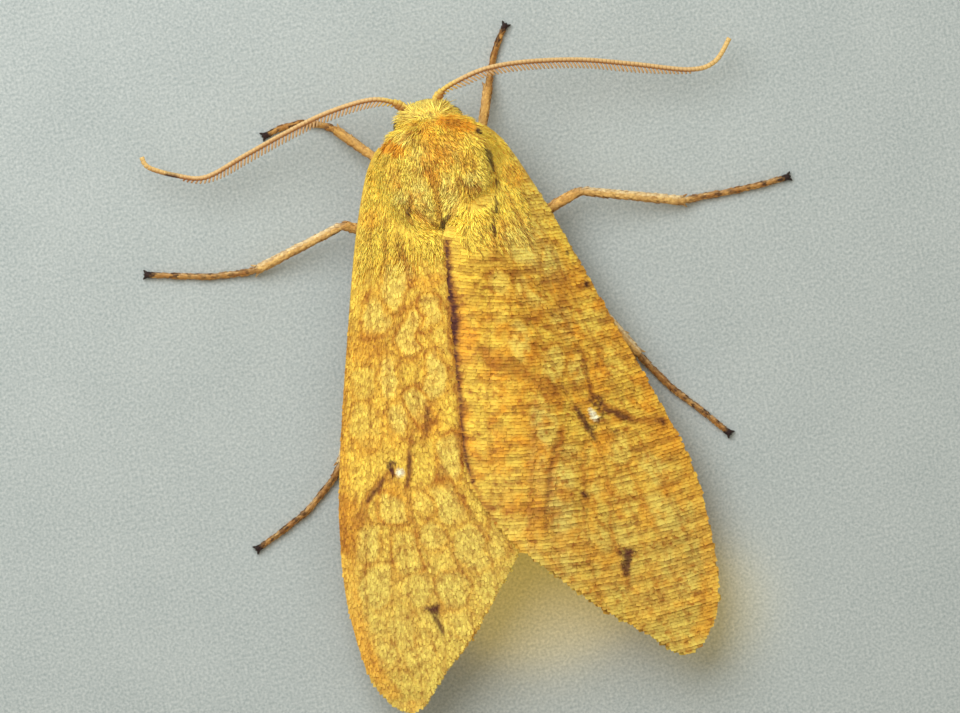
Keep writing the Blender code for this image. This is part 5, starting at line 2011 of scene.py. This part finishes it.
@dataclass
class Leg:
    """One leg: its skin, its flat scales, its spurs and its claws.

    The bend is where the femur turns out from under the body, and the foot's points
    lie on the floor.
    """

    pair: str
    side: Side
    hip: Triple
    knee: Triple
    ankle: Triple
    foot: tuple[Pair, ...]
    bend: Triple | None = None
    spurs: int = 2
    femur_radius: float = 0.215
    tibia_radius: float = 0.160
    tibia_end_radius: float = 0.180
    foot_radius: float = 0.145
    toe_radius: float = 0.115
    segments: int = 5
    around: int = 16
    ring_step: float = 0.075
    scale_density: float = 130.0
    scale_size: Triple = (0.13, 0.24, 0.10)
    claw_length: float = 0.26
    spur_length: float = 0.42
    foot_inset: float = 0.16
    foot_lift: float = 0.085
    foot_fall: float = 0.02
    rounding: float = 0.3
    bare_end: float = 0.18
    knee_cut: float = 0.05
    ankle_cut: float = 0.1

    def __post_init__(self) -> None:
        """Lays out the leg's path, and finds its knee, ankle and end along it."""
        toes = np.array(self.foot)
        toes[-1] -= unit(toes[-1] - toes[-2]) * self.foot_inset
        floor = [(out, along, self.toe_radius + self.foot_lift - self.foot_fall * i / len(toes))
                 for i, (out, along) in enumerate(toes)]
        femur = [self.hip, self.bend, self.knee] if self.bend else [self.hip, self.knee]
        path = rounded_path([*femur, self.ankle, *floor], self.rounding)
        self.limb = Limb(path, self.side)
        knee = Limb(np.array(femur), self.side).length - self.knee_cut
        ankle = knee + math.dist(self.ankle, self.knee) - self.ankle_cut
        self.stops = (knee - self.knee_cut, ankle, self.limb.length)
        self.name = f"{self.pair}leg_{self.side.word}"

    def build(self, bench: Bench) -> None:
        """Builds the leg's pieces.

        Args:
            bench: Where pieces are finished.
        """
        rng = np.random.default_rng(SEED + len(self.pair) * 31 + self.side.value)
        skin = self._skin()
        surface = SkinSurface.taken_from(skin)
        self._scales(bench, surface, rng)
        set_marks(skin, self._paint(surface.points), 0.3 * noise(surface.points, 0.1, 107))
        parts = tuple(f"{self.name}_{part}" for part in ("femur", "tibia", "tarsus"))
        bench.finish(skin, bench.leg, parts)
        self._claws(bench)
        self._spurs(bench)

    def _walk(self, ways: Array) -> tuple[Array, Array]:
        """The share of the foot, and of the foot's own segment, at distances along the leg."""
        _, ankle, end = self.stops
        walk = np.clip((ways - ankle) / (end - ankle), 0, 1)
        return walk, (walk**0.8 * self.segments) % 1.0

    def _radius(self, ways: Array) -> Array:
        """The skin's radius at distances along the leg."""
        knee, ankle, _ = self.stops
        femur = self.femur_radius * (0.86 + 0.14 * np.sin(np.pi * np.clip(ways / knee, 0, 1)))
        shin = (ways - knee) / (ankle - knee)
        tibia = self.tibia_radius + (self.tibia_end_radius - self.tibia_radius) * np.clip(shin, 0, 1)
        walk, beads = self._walk(ways)
        foot = self.foot_radius + (self.toe_radius - self.foot_radius) * walk
        foot = foot * (0.86 + 0.18 * beads**1.5)
        radius = np.where(ways < knee, femur, np.where(ways < ankle, tibia, foot))
        knee_dip = 0.16 * np.exp(-(((ways - knee) / 0.13) ** 2))
        ankle_dip = 0.22 * np.exp(-(((ways - ankle) / 0.10) ** 2))
        return radius * (1.0 - knee_dip - ankle_dip)

    def _skin(self) -> Thing:
        """Shapes a straight limb with its joints, then lays it on the path."""
        piece = Workpiece(self.name + "_skin", bpy.ops.mesh.primitive_cylinder_add,
                          vertices=self.around, radius=1.0, depth=1.0, end_fill_type="TRIFAN",
                          rotation=(math.pi / 2, 0.0, 0.0))
        bpy.ops.object.transform_apply(location=True, rotation=True, scale=True)
        piece.pick(lambda co: False)
        bpy.ops.mesh.select_mode(type="EDGE")
        bpy.ops.object.mode_set(mode="OBJECT")
        along = points_of(piece.thing)[:, 1]
        for edge in piece.thing.data.edges:
            edge.select = bool(np.ptp(along[list(edge.vertices)]) > 0.9)
        bpy.ops.object.mode_set(mode="EDIT")
        piece.cut(int(self.limb.length / self.ring_step) // 2).cut(1)
        thing = piece.finish()
        x, along, up = points_of(thing).T
        ways = (along + 0.5) * self.limb.length
        radius = self._radius(ways)
        set_points(thing, self.limb.lay(rows(x * radius, ways, up * radius)))
        return thing

    def _paint(self, points: Array) -> Array:
        """The leg's markings."""
        knee, ankle, end = self.stops
        marks = bare(len(points))
        ways = self.limb.ways_of(points)
        centre, _, across, up = self.limb.frames(ways)
        away = unit(points - centre)
        aside = np.sum(away * across, axis=1) * self.side.value
        over = np.sum(away * up, axis=1)
        cloud = 0.5 + 0.5 * noise(points, 0.35, 109)
        fine = 0.5 + 0.5 * noise(points, 0.12, 113)
        foot = ease(ways, ankle - 0.3, ankle + 0.4)
        walk, beads = self._walk(ways)
        thigh = 1.0 - ease(ways, knee - 0.3, knee + 0.3)
        lay(marks, Tone.ORANGE, (0.2 + 0.6 * thigh + 0.4 * foot) * (0.5 + 0.5 * cloud))
        pale, amber = (0.4, 0.5) if self.pair == "fore" else (0.95, 0.0)
        lay(marks, Tone.PALE, pale * ease(aside, 0.1, 0.7) * (1.0 - 0.6 * thigh))
        lay(marks, Tone.ORANGE, amber)
        lay(marks, Tone.BROWN, 0.8 * ease(-aside, 0.45, 0.85) * (0.4 + 0.6 * cloud))
        streak = (1.0 - ease(np.abs(over - 0.75 + 0.5 * aside), 0.25, 0.5)) * foot
        lay(marks, Tone.BROWN, streak * (0.4 + 0.6 * cloud))
        lay(marks, Tone.DARK, streak * ease(fine, 0.35, 0.75) * (0.5 + 0.5 * walk))
        joint = np.maximum(ease(beads, 0.82, 0.97), 1.0 - ease(beads, 0.02, 0.10))
        lay(marks, Tone.BROWN, 0.5 * joint * foot * ease(ways, ankle, ankle + 0.2))
        lay(marks, Tone.DARK, ease(ways, end - 0.42, end - 0.15))
        lay(marks, Tone.BROWN, 0.35 * ease(fine, 0.6, 0.9) * ease(ways, knee, ankle))
        lay(marks, Tone.BROWN, 0.4 * np.exp(-(((ways - knee) / 0.2) ** 2)))
        return marks

    def _scales(self, bench: Bench, surface: SkinSurface, rng: Random) -> None:
        """Lays flat scales down the leg."""
        area = 2 * math.pi * self.tibia_radius * self.limb.length
        count = int(area * self.scale_density)
        roots, normals = surface.draw(count, lambda points: np.ones(len(points)), rng)
        ways = self.limb.ways_of(roots)
        centre, ahead, across, up = self.limb.frames(ways)
        lie = ahead + 0.12 * rng.normal(size=(count, 3))
        slim = 1.0 - 0.3 * ease(ways, self.stops[1] - 0.2, self.stops[1] + 0.4)
        sizes = np.array(self.scale_size) * (rng.uniform(0.75, 1.15, count) * slim)[:, None]
        away = roots - centre
        angle = np.arctan2(np.sum(away * across, axis=1), np.sum(away * up, axis=1))
        chart = rows(angle / (2 * np.pi) + 0.5, ways / self.limb.length)
        shade = rng.normal(0.0, 0.4, count)
        keep = ways < self.limb.length - self.bare_end
        coat = Coat(roots[keep], lie[keep], normals[keep], sizes[keep], chart[keep], self._paint,
                    shade[keep], whole=True)
        lift = np.radians(rng.uniform(3.0, 12.0, int(keep.sum())))
        bench.finish(coat.build(self.name + "_scales", bench.scale, lift), bench.leg, smooth=False)

    def _claws(self, bench: Bench) -> None:
        """Shapes the forked claws at the end of the foot, and the pad between them."""
        centre, ahead, across, up = self.limb.frame_at(self.limb.length - 0.1)
        hooks = [self._hook(centre + 0.03 * turn * across, unit(ahead + 0.95 * turn * across), up,
                            self.claw_length, 0.075, 0.32) for turn in (-1.0, 1.0)]
        hooks.append(self._hook(centre - 0.12 * ahead, ahead, up, 0.3, 0.12, 0.1))
        bench.finish(join_objects(hooks, self.name + "_claws"), bench.horn)

    def _spurs(self, bench: Bench) -> None:
        """Shapes the tibia's blunt spurs."""
        spurs = []
        for number in range(self.spurs):
            turn = -self.side.value * (1.0 if number % 2 else -1.0)
            way = self.stops[1] - 0.1 - 1.1 * (number // 2)
            centre, ahead, across, up = self.limb.frame_at(way)
            root = centre + turn * across * self.tibia_radius * 0.5 - 0.05 * up
            spurs.append(self._hook(root, unit(ahead + 0.6 * turn * across - 0.25 * up), up,
                                    self.spur_length, 0.065, 0.06))
        thing = join_objects(spurs, self.name + "_spurs")
        points = points_of(thing)
        marks = bare(len(points))
        lay(marks, Tone.PALE, 0.4)
        lay(marks, Tone.BROWN, 0.5 + 0.5 * noise(points, 0.15, 109))
        set_marks(thing, marks, np.zeros(len(points)))
        bench.finish(thing, bench.leg)

    @staticmethod
    def _hook(root: Array, ahead: Array, up: Array, length: float, radius: float, droop: float) -> Thing:
        """Shapes one curved, pointed horn.

        Args:
            root: Where it grows.
            ahead: Where it points.
            up: Its upper side.
            length: Its length.
            radius: Its radius at the root.
            droop: How far its tip bends down, as a share of its length.

        Returns:
            The horn in moth millimetres.
        """
        piece = Workpiece.ring("hook", 8, radius)
        piece.draw_out([(length * way, -droop * length * way**2.2, shrink) for way, shrink in
                        ((0.3, 0.95), (0.55, 0.85), (0.75, 0.75), (0.9, 0.6))])
        thing = piece.extrude(0.0, length * 0.1, -droop * length * 0.2).close().finish()
        x, along, high = points_of(thing).T[:, :, None]
        across = unit(np.cross(ahead, up))
        top = unit(np.cross(across, ahead))
        set_points(thing, root + x * across + along * ahead + high * top)
        return thing


@dataclass
class Antenna:
    """One feeler: a beaded shaft with two rows of short comb teeth, and a dark streak if any."""

    side: Side
    path: tuple[Triple, ...]
    bead_length: float = 0.175
    root_radius: float = 0.112
    tip_radius: float = 0.112
    scape_radius: float = 0.23
    tooth_length: float = 0.37
    tooth_radius: float = 0.050
    bare_tip: float = 0.12
    streak: float = 0.0

    def build(self, bench: Bench) -> None:
        """Builds the feeler from one modelled bead and one modelled tooth.

        Args:
            bench: Where pieces are finished.
        """
        limb = Limb(curve_through(self.path, np.linspace(0.0, 1.0, 160)), self.side)
        beads = int(limb.length / self.bead_length)
        bead, tooth = self._bead(), self._tooth()
        middles = (np.arange(beads) + 0.5) * limb.length / beads
        share = middles / limb.length
        centre, ahead, across, up = limb.frames(middles)
        radius = self.root_radius + (self.tip_radius - self.root_radius) * share**0.9
        scape = 1.0 - ease(middles, 0.35, 0.85)
        radius = radius + (self.scape_radius - radius) * scape
        length = np.full(beads, limb.length / beads)
        groups = [bead.copied(centre - ahead * length[:, None] / 2, across, ahead, up,
                              rows(radius, length, radius))]
        grown = 1.0 - ease(share, 1.0 - self.bare_tip - 0.25, 1.0 - self.bare_tip)
        grown = grown * ease(share, 0.02, 0.12)
        row = grown > 0.08
        tailward = -float(self.side.value)
        for turn, droop in ((tailward, 0.1), (0.1 * tailward, 1.0)):
            forward = unit(ahead * 0.7 + across * turn - droop * up)
            beside = unit(np.cross(forward, up))
            top = unit(np.cross(beside, forward))
            root = centre + across * turn * radius[:, None] * 0.6 - up * radius[:, None] * 0.2
            sizes = rows(self.tooth_radius, self.tooth_length * (0.3 + 0.7 * grown), self.tooth_radius)
            groups.append(tooth.copied(root[row], beside[row], forward[row], top[row], sizes[row]))
        points = np.concatenate([g[0] for g in groups])
        offsets = np.cumsum([0] + [len(g[0]) for g in groups[:-1]])
        faces = np.concatenate([g[1] + o for g, o in zip(groups, offsets)])
        thing = mesh_object(f"antenna_{self.side.word}_comb", points, faces)
        is_tooth = np.arange(len(points)) >= len(groups[0][0])
        set_marks(thing, self._paint(points, is_tooth, limb), 0.3 * noise(points, 0.1, 127))
        parts = tuple(f"antenna_{self.side.word}_{part}" for part in ("base", "middle", "tip"))
        bench.finish(thing, bench.feeler, parts)

    @staticmethod
    def _bead() -> Template:
        """Shapes one bead of the shaft, a little wider at its far end."""
        piece = Workpiece.ring("bead", 10, 0.86)
        piece.draw_out(((0.12, 0.0, 1.1), (0.8, 0.0, 1.08), (1.0, 0.0, 0.88)))
        return Template.taken_from(piece.finish(triangles=True))

    @staticmethod
    def _tooth() -> Template:
        """Shapes one comb tooth, blunt and slightly hooked."""
        piece = Workpiece.ring("tooth", 6, 1.0)
        piece.draw_out(((0.45, 0.2, 0.95), (0.85, 0.1, 0.9), (1.0, -0.3, 0.5)))
        return Template.taken_from(piece.finish(triangles=True))

    def _paint(self, points: Array, is_tooth: Array, limb: Limb) -> Array:
        """The feeler's markings."""
        ways = limb.ways_of(points)
        share = ways / limb.length
        marks = bare(len(points))
        centre = limb.frames(ways)[0]
        headward = ease(-(points - centre)[:, 1], -0.05, 0.03)
        tip = ease(share, 0.82, 0.9)
        lay(marks, Tone.PALE, np.where(is_tooth, 0.3, 0.3 * headward))
        lay(marks, Tone.ORANGE, np.where(is_tooth, 0.2, 0.35))
        lay(marks, Tone.BROWN, np.where(is_tooth, 0.35, 0.85 * (1.0 - headward) * (1.0 - tip)))
        lay(marks, Tone.ORANGE, 0.5 * tip)
        lay(marks, Tone.DUST, 1.0 - ease(share, 0.055, 0.13))
        if self.streak:
            close = np.linalg.norm(points - limb.frame_at(self.streak)[0], axis=1)
            lay(marks, Tone.DARK, 0.95 * (1.0 - ease(close, 0.22, 0.42)) * ~is_tooth
                * (1.0 - 0.7 * headward))
            lay(marks, Tone.BROWN, 0.7 * (1.0 - ease(close, 0.7, 1.4)) * (1.0 - headward))
        return marks


@dataclass
class Eye:
    """A large domed compound eye."""

    side: Side
    flatten: float = 0.96

    def build(self, bench: Bench) -> None:
        """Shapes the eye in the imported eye's box.

        Args:
            bench: Where pieces are finished.
        """
        low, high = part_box("eye_" + self.side.word)
        low, high = bench.place.to_moth(np.array([low, high]))
        centre, half = (low + high) / 2, (high - low) / 2
        piece = Workpiece(f"eye_{self.side.word}_cornea", bpy.ops.mesh.primitive_ico_sphere_add,
                          subdivisions=5, radius=1.0)
        piece.pick(lambda co: co.x * self.side.value < -0.2)
        piece.resize(self.flatten, 0.9, 0.9)
        thing = piece.finish()
        set_points(thing, centre + points_of(thing) * half * 0.99)
        bench.finish(thing, bench.cornea, ("eye_" + self.side.word,))


# --------------------------------------------------------------------- studio


@dataclass
class Studio:
    """A pale floor, soft lights and a camera that looks straight down."""

    view_centre: Pair = (0.656, -0.203)
    view_width: float = 41.03
    turn_degrees: float = 167.6
    distance: float = 600.0
    focus_height: float = 2.6
    sensor: float = 36.0
    floor_size: float = 420.0
    sky: Colour = (1.0, 0.965, 0.83, 1.0)
    sky_strength: float = 0.44
    clip: Pair = (0.01, 10.0)

    def build(self) -> None:
        """Sets up the studio."""
        scene = bpy.context.scene
        scene.view_settings.view_transform = "Standard"
        self._floor()
        self._camera()
        self._lights()
        scene.world = scene.world or bpy.data.worlds.new("studio")
        scene.world.use_nodes = True
        backdrop = scene.world.node_tree.nodes["Background"]
        backdrop.inputs["Color"].default_value = self.sky
        backdrop.inputs["Strength"].default_value = self.sky_strength

    def _floor(self) -> None:
        """A large pale board with a softly rounded edge."""
        size = self.floor_size * MM
        piece = Workpiece("floor", bpy.ops.mesh.primitive_plane_add, size=size)
        piece.pick(lambda co: True).extrude(0.0, 0.0, -0.01 * size)
        thing = piece.finish()
        apply_modifier(thing, "BEVEL", width=0.004 * size, segments=3)
        thing.data.materials.append(FloorFinish().make())

    def _camera(self) -> None:
        """A long lens straight above the moth."""
        data = bpy.data.cameras.new("camera")
        data.sensor_width = self.sensor
        data.lens = self.sensor * (self.distance - self.focus_height) / self.view_width
        data.clip_start, data.clip_end = self.clip
        camera = bpy.data.objects.new("camera", data)
        camera.location = (self.view_centre[0] * MM, self.view_centre[1] * MM, self.distance * MM)
        camera.rotation_euler = (0.0, 0.0, math.radians(self.turn_degrees))
        bpy.context.scene.collection.objects.link(camera)
        bpy.context.scene.camera = camera

    def _lights(self) -> None:
        """A near key light, and the amber light that thin wings let through."""
        turn = math.radians(self.turn_degrees)
        right = Vector((math.cos(turn), math.sin(turn), 0.0))
        up = Vector((-math.sin(turn), math.cos(turn), 0.0))
        tail = Vector((0.0, 0.0085, 0.0))
        plans = (
            ("key", right * -0.045 + up * 0.058 + Vector((0, 0, 0.105)), 0.12, 0.124,
             (0.95, 1.0, 1.06)),
            ("amber", tail + Vector((0, 0, 0.0013)), 0.010, 0.00013, (1.0, 0.62, 0.01)),
            ("amber_right", tail + Vector((-0.0066, 0.0037, 0.0013)), 0.005, 0.000022,
             (1.0, 0.64, 0.01)),
        )
        for name, place, size, power, colour in plans:
            data = bpy.data.lights.new(name, "AREA")
            data.shape = "DISK"
            data.size = size
            data.energy = power
            data.color = colour
            light = bpy.data.objects.new(name, data)
            light.location = place
            aim = Vector((0, 0, -1)) if "amber" in name else -place
            light.rotation_euler = aim.to_track_quat("-Z", "Y").to_euler()
            light.visible_camera = False
            bpy.context.scene.collection.objects.link(light)


# ----------------------------------------------------------------------- moth


LEFT_COSTA: tuple[Pair, ...] = (
    (2.3, -0.95), (2.86, -0.35), (3.5, 0.95), (4.36, 3.3), (5.6, 7.4), (6.76, 11.5), (7.48, 14.7),
    (7.82, 17.8), (7.58, 20.9), (6.8, 22.4),
)
RIGHT_COSTA: tuple[Pair, ...] = (
    (2.3, -0.95), (2.86, -0.35), *WingRoof().edge[1:],
)
INNER_MARGIN: tuple[Pair, ...] = (
    (1.8, -0.5), (1.85, 0.8), (1.5, 1.8), (0.9, 2.5), (0.2, 2.9), (-0.3, 3.2), (-0.7, 6.3), (-1.22, 10.2),
    (-1.56, 13.2), (-1.12, 14.9), (-0.1, 17), (2.4, 20), (4.1, 21.4), (5.35, 22.5),
)
HIND_COSTA: tuple[Pair, ...] = (
    (2.3, 3.5), (3.6, 6.2), (4.6, 9.6), (5.2, 13), (4.9, 15.6), (3.9, 17.1),
)
HIND_MARGIN: tuple[Pair, ...] = (
    (0.2, 3.6), (0.2, 8), (0.2, 12), (0.5, 14.6), (1.5, 16.3), (2.7, 17.2),
)


@dataclass
class Moth:
    """The whole moth."""

    eye_along: float = -1.54
    layer: float = 0.62

    def build(self) -> None:
        """Builds every part of the moth in order."""
        bench = self._bench()
        wings = self._wings()
        for wing in wings:
            wing.build(bench)
        Body().build(bench, Mantle(*wings[-2:]))
        pieces = self._legs() + self._antennae() + [Eye(side) for side in Side]
        for piece in pieces:
            piece.build(bench)
        LOG.info("%d pieces", len(bench.made))

    def _bench(self) -> Bench:
        """Mixes the finishes and models the shapes that are repeated."""
        wing = MarkedFinish("wing_scales_gold", WING_PALETTE, shade_depth=0.45)
        fur = MarkedFinish("body_fur_gold", FUR_PALETTE, roughness=0.7, sheen=0.08,
                           grain_per_mm=9.0, shade_depth=0.62, lighten=0.28)
        leg = MarkedFinish("leg_scales_tan", LEG_PALETTE, roughness=0.6)
        feeler = MarkedFinish("feeler_tan", ANTENNA_PALETTE, roughness=0.5, grain_per_mm=14.0,
                              bump_depth=0.01)
        return Bench(BodyFrame.from_eyes(self.eye_along), Look(wing.make(), "wing_scales"),
                     Look(fur.make(), "body_fur"), Look(leg.make(), "leg_scales"),
                     Look(ClawFinish().make(), "leg_scales"),
                     Look(feeler.make(), "antenna_cuticle"),
                     Look(EyeFinish().make(), "eye_cornea"), model_scale(),
                     model_hair(0.055, 0.7, 0.03), model_hair(0.062, 0.7, 0.04))

    def _wings(self) -> list[Wing]:
        """The four wings, from the lowest up."""
        wings = []
        for side in Side:
            sheet = WingSheet(side, HIND_COSTA, HIND_MARGIN, 0.3, -self.layer, -self.layer,
                              inset_change=(12.5, 14.5), root_inset=0.1, relief=0.6)
            wings.append(Wing("hindwing_" + side.word, sheet, HindMarks(), ribs=70, chords=30,
                              row=0.17, pitch=0.12, scale_size=(0.18, 0.36, 0.12),
                              fringe_pitch=0.03, fringe_length=0.34))
        left = WingSheet(Side.LEFT, LEFT_COSTA, INNER_MARGIN, 0.62, 0.09, 0.09)
        right = WingSheet(Side.RIGHT, RIGHT_COSTA, INNER_MARGIN, 0.62, self.layer - 0.17, 0.07)
        wings.append(Wing("forewing_left", left,
                          WingMarks(LEFT_STROKES, LEFT_BLOTS, clear=1.0, dust=0.3, mottle=0.22,
                                    bleach=0.5)))
        wings.append(Wing("forewing_right", right,
                          WingMarks(RIGHT_STROKES, RIGHT_BLOTS, shift=(-0.1, -0.5), clear=0.85,
                                    dust=0.6, vein=0.6, mottle=1.0, speckle=1.1),
                          row=0.137, row_wander=0.04, pitch=0.105, scale_size=(0.30, 0.29, 0.05),
                          tip_light=0.7, stripe=0.95, length_change=0.05, lift_degrees=12.0,
                          scatter=0.22))
        return wings

    @staticmethod
    def _legs() -> list[Leg]:
        """The six legs."""
        left, right = Side.LEFT, Side.RIGHT
        return [
            Leg("fore", left, (0.55, -0.8, 1.95), (2.15, -0.1, 1.55), (3.95, -2.1, 0.42),
                ((4.5, -2.45), (5.35, -2.72), (6.35, -2.66), (7.2, -2.45)), spurs=1),
            Leg("fore", right, (0.55, -0.8, 1.95), (2.0, -0.25, 1.5), (2.86, -2.55, 0.42),
                ((3.05, -3.0), (3.35, -3.75), (3.8, -4.5), (4.26, -5.08)), spurs=1),
            Leg("mid", left, (1.0, 0.8, 1.3), (4.5, 1.98, 1.6), (8.55, 3.05, 0.42),
                ((9.2, 3.05), (10.6, 2.9), (12.0, 2.55), (13.42, 2.18)), (2.7, 2.9, 1.2)),
            Leg("mid", right, (1.0, 0.8, 1.3), (5.7, 2.72, 1.5), (10.0, 4.08, 0.42),
                ((10.6, 4.06), (12.0, 4.12), (13.3, 4.12), (14.8, 4.02)), (2.9, 3.6, 1.25)),
            Leg("hind", left, (0.9, 2.0, 1.3), (3.9, 6.4, 1.55), (6.85, 12.05, 0.42),
                ((7.35, 12.6), (8.6, 13.6), (10.0, 14.3), (11.27, 14.83)), spurs=4),
            Leg("hind", right, (0.9, 2.0, 1.3), (4.2, 5.5, 1.55), (6.7, 10.1, 0.42),
                ((7.05, 10.7), (7.75, 11.8), (8.7, 12.9), (9.9, 14.4)), (1.5, 4.3, 1.0), 4),
        ]

    @staticmethod
    def _antennae() -> list[Antenna]:
        """The two feelers."""
        return [
            Antenna(Side.LEFT, ((0.8, -2.2, 3.1), (1.3, -2.68, 3.3), (2.3, -2.98, 3.35),
                                (4.2, -2.82, 3.0), (6.2, -2.34, 2.45), (8.0, -1.81, 1.95),
                                (9.8, -1.29, 1.55), (11.0, -1.62, 1.5), (12.1, -2.22, 1.5),
                                (12.3, -2.72, 1.5)), streak=11.2),
            Antenna(Side.RIGHT, ((0.45, -2.2, 3.1), (0.85, -2.68, 3.3), (1.6, -2.97, 3.35),
                                 (2.9, -3.22, 3.25), (4.6, -3.15, 2.9), (6.9, -2.75, 2.35),
                                 (9.1, -2.09, 1.85), (11.4, -1.35, 1.5), (12.55, -1.45, 1.4),
                                 (13.38, -2.3, 1.4))),
        ]


def main() -> None:
    """Builds the moth and its studio."""
    logging.basicConfig(level=logging.INFO, format="%(name)s: %(message)s")
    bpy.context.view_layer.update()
    Moth().build()
    Studio().build()


if __name__ == "__main__":
    main()
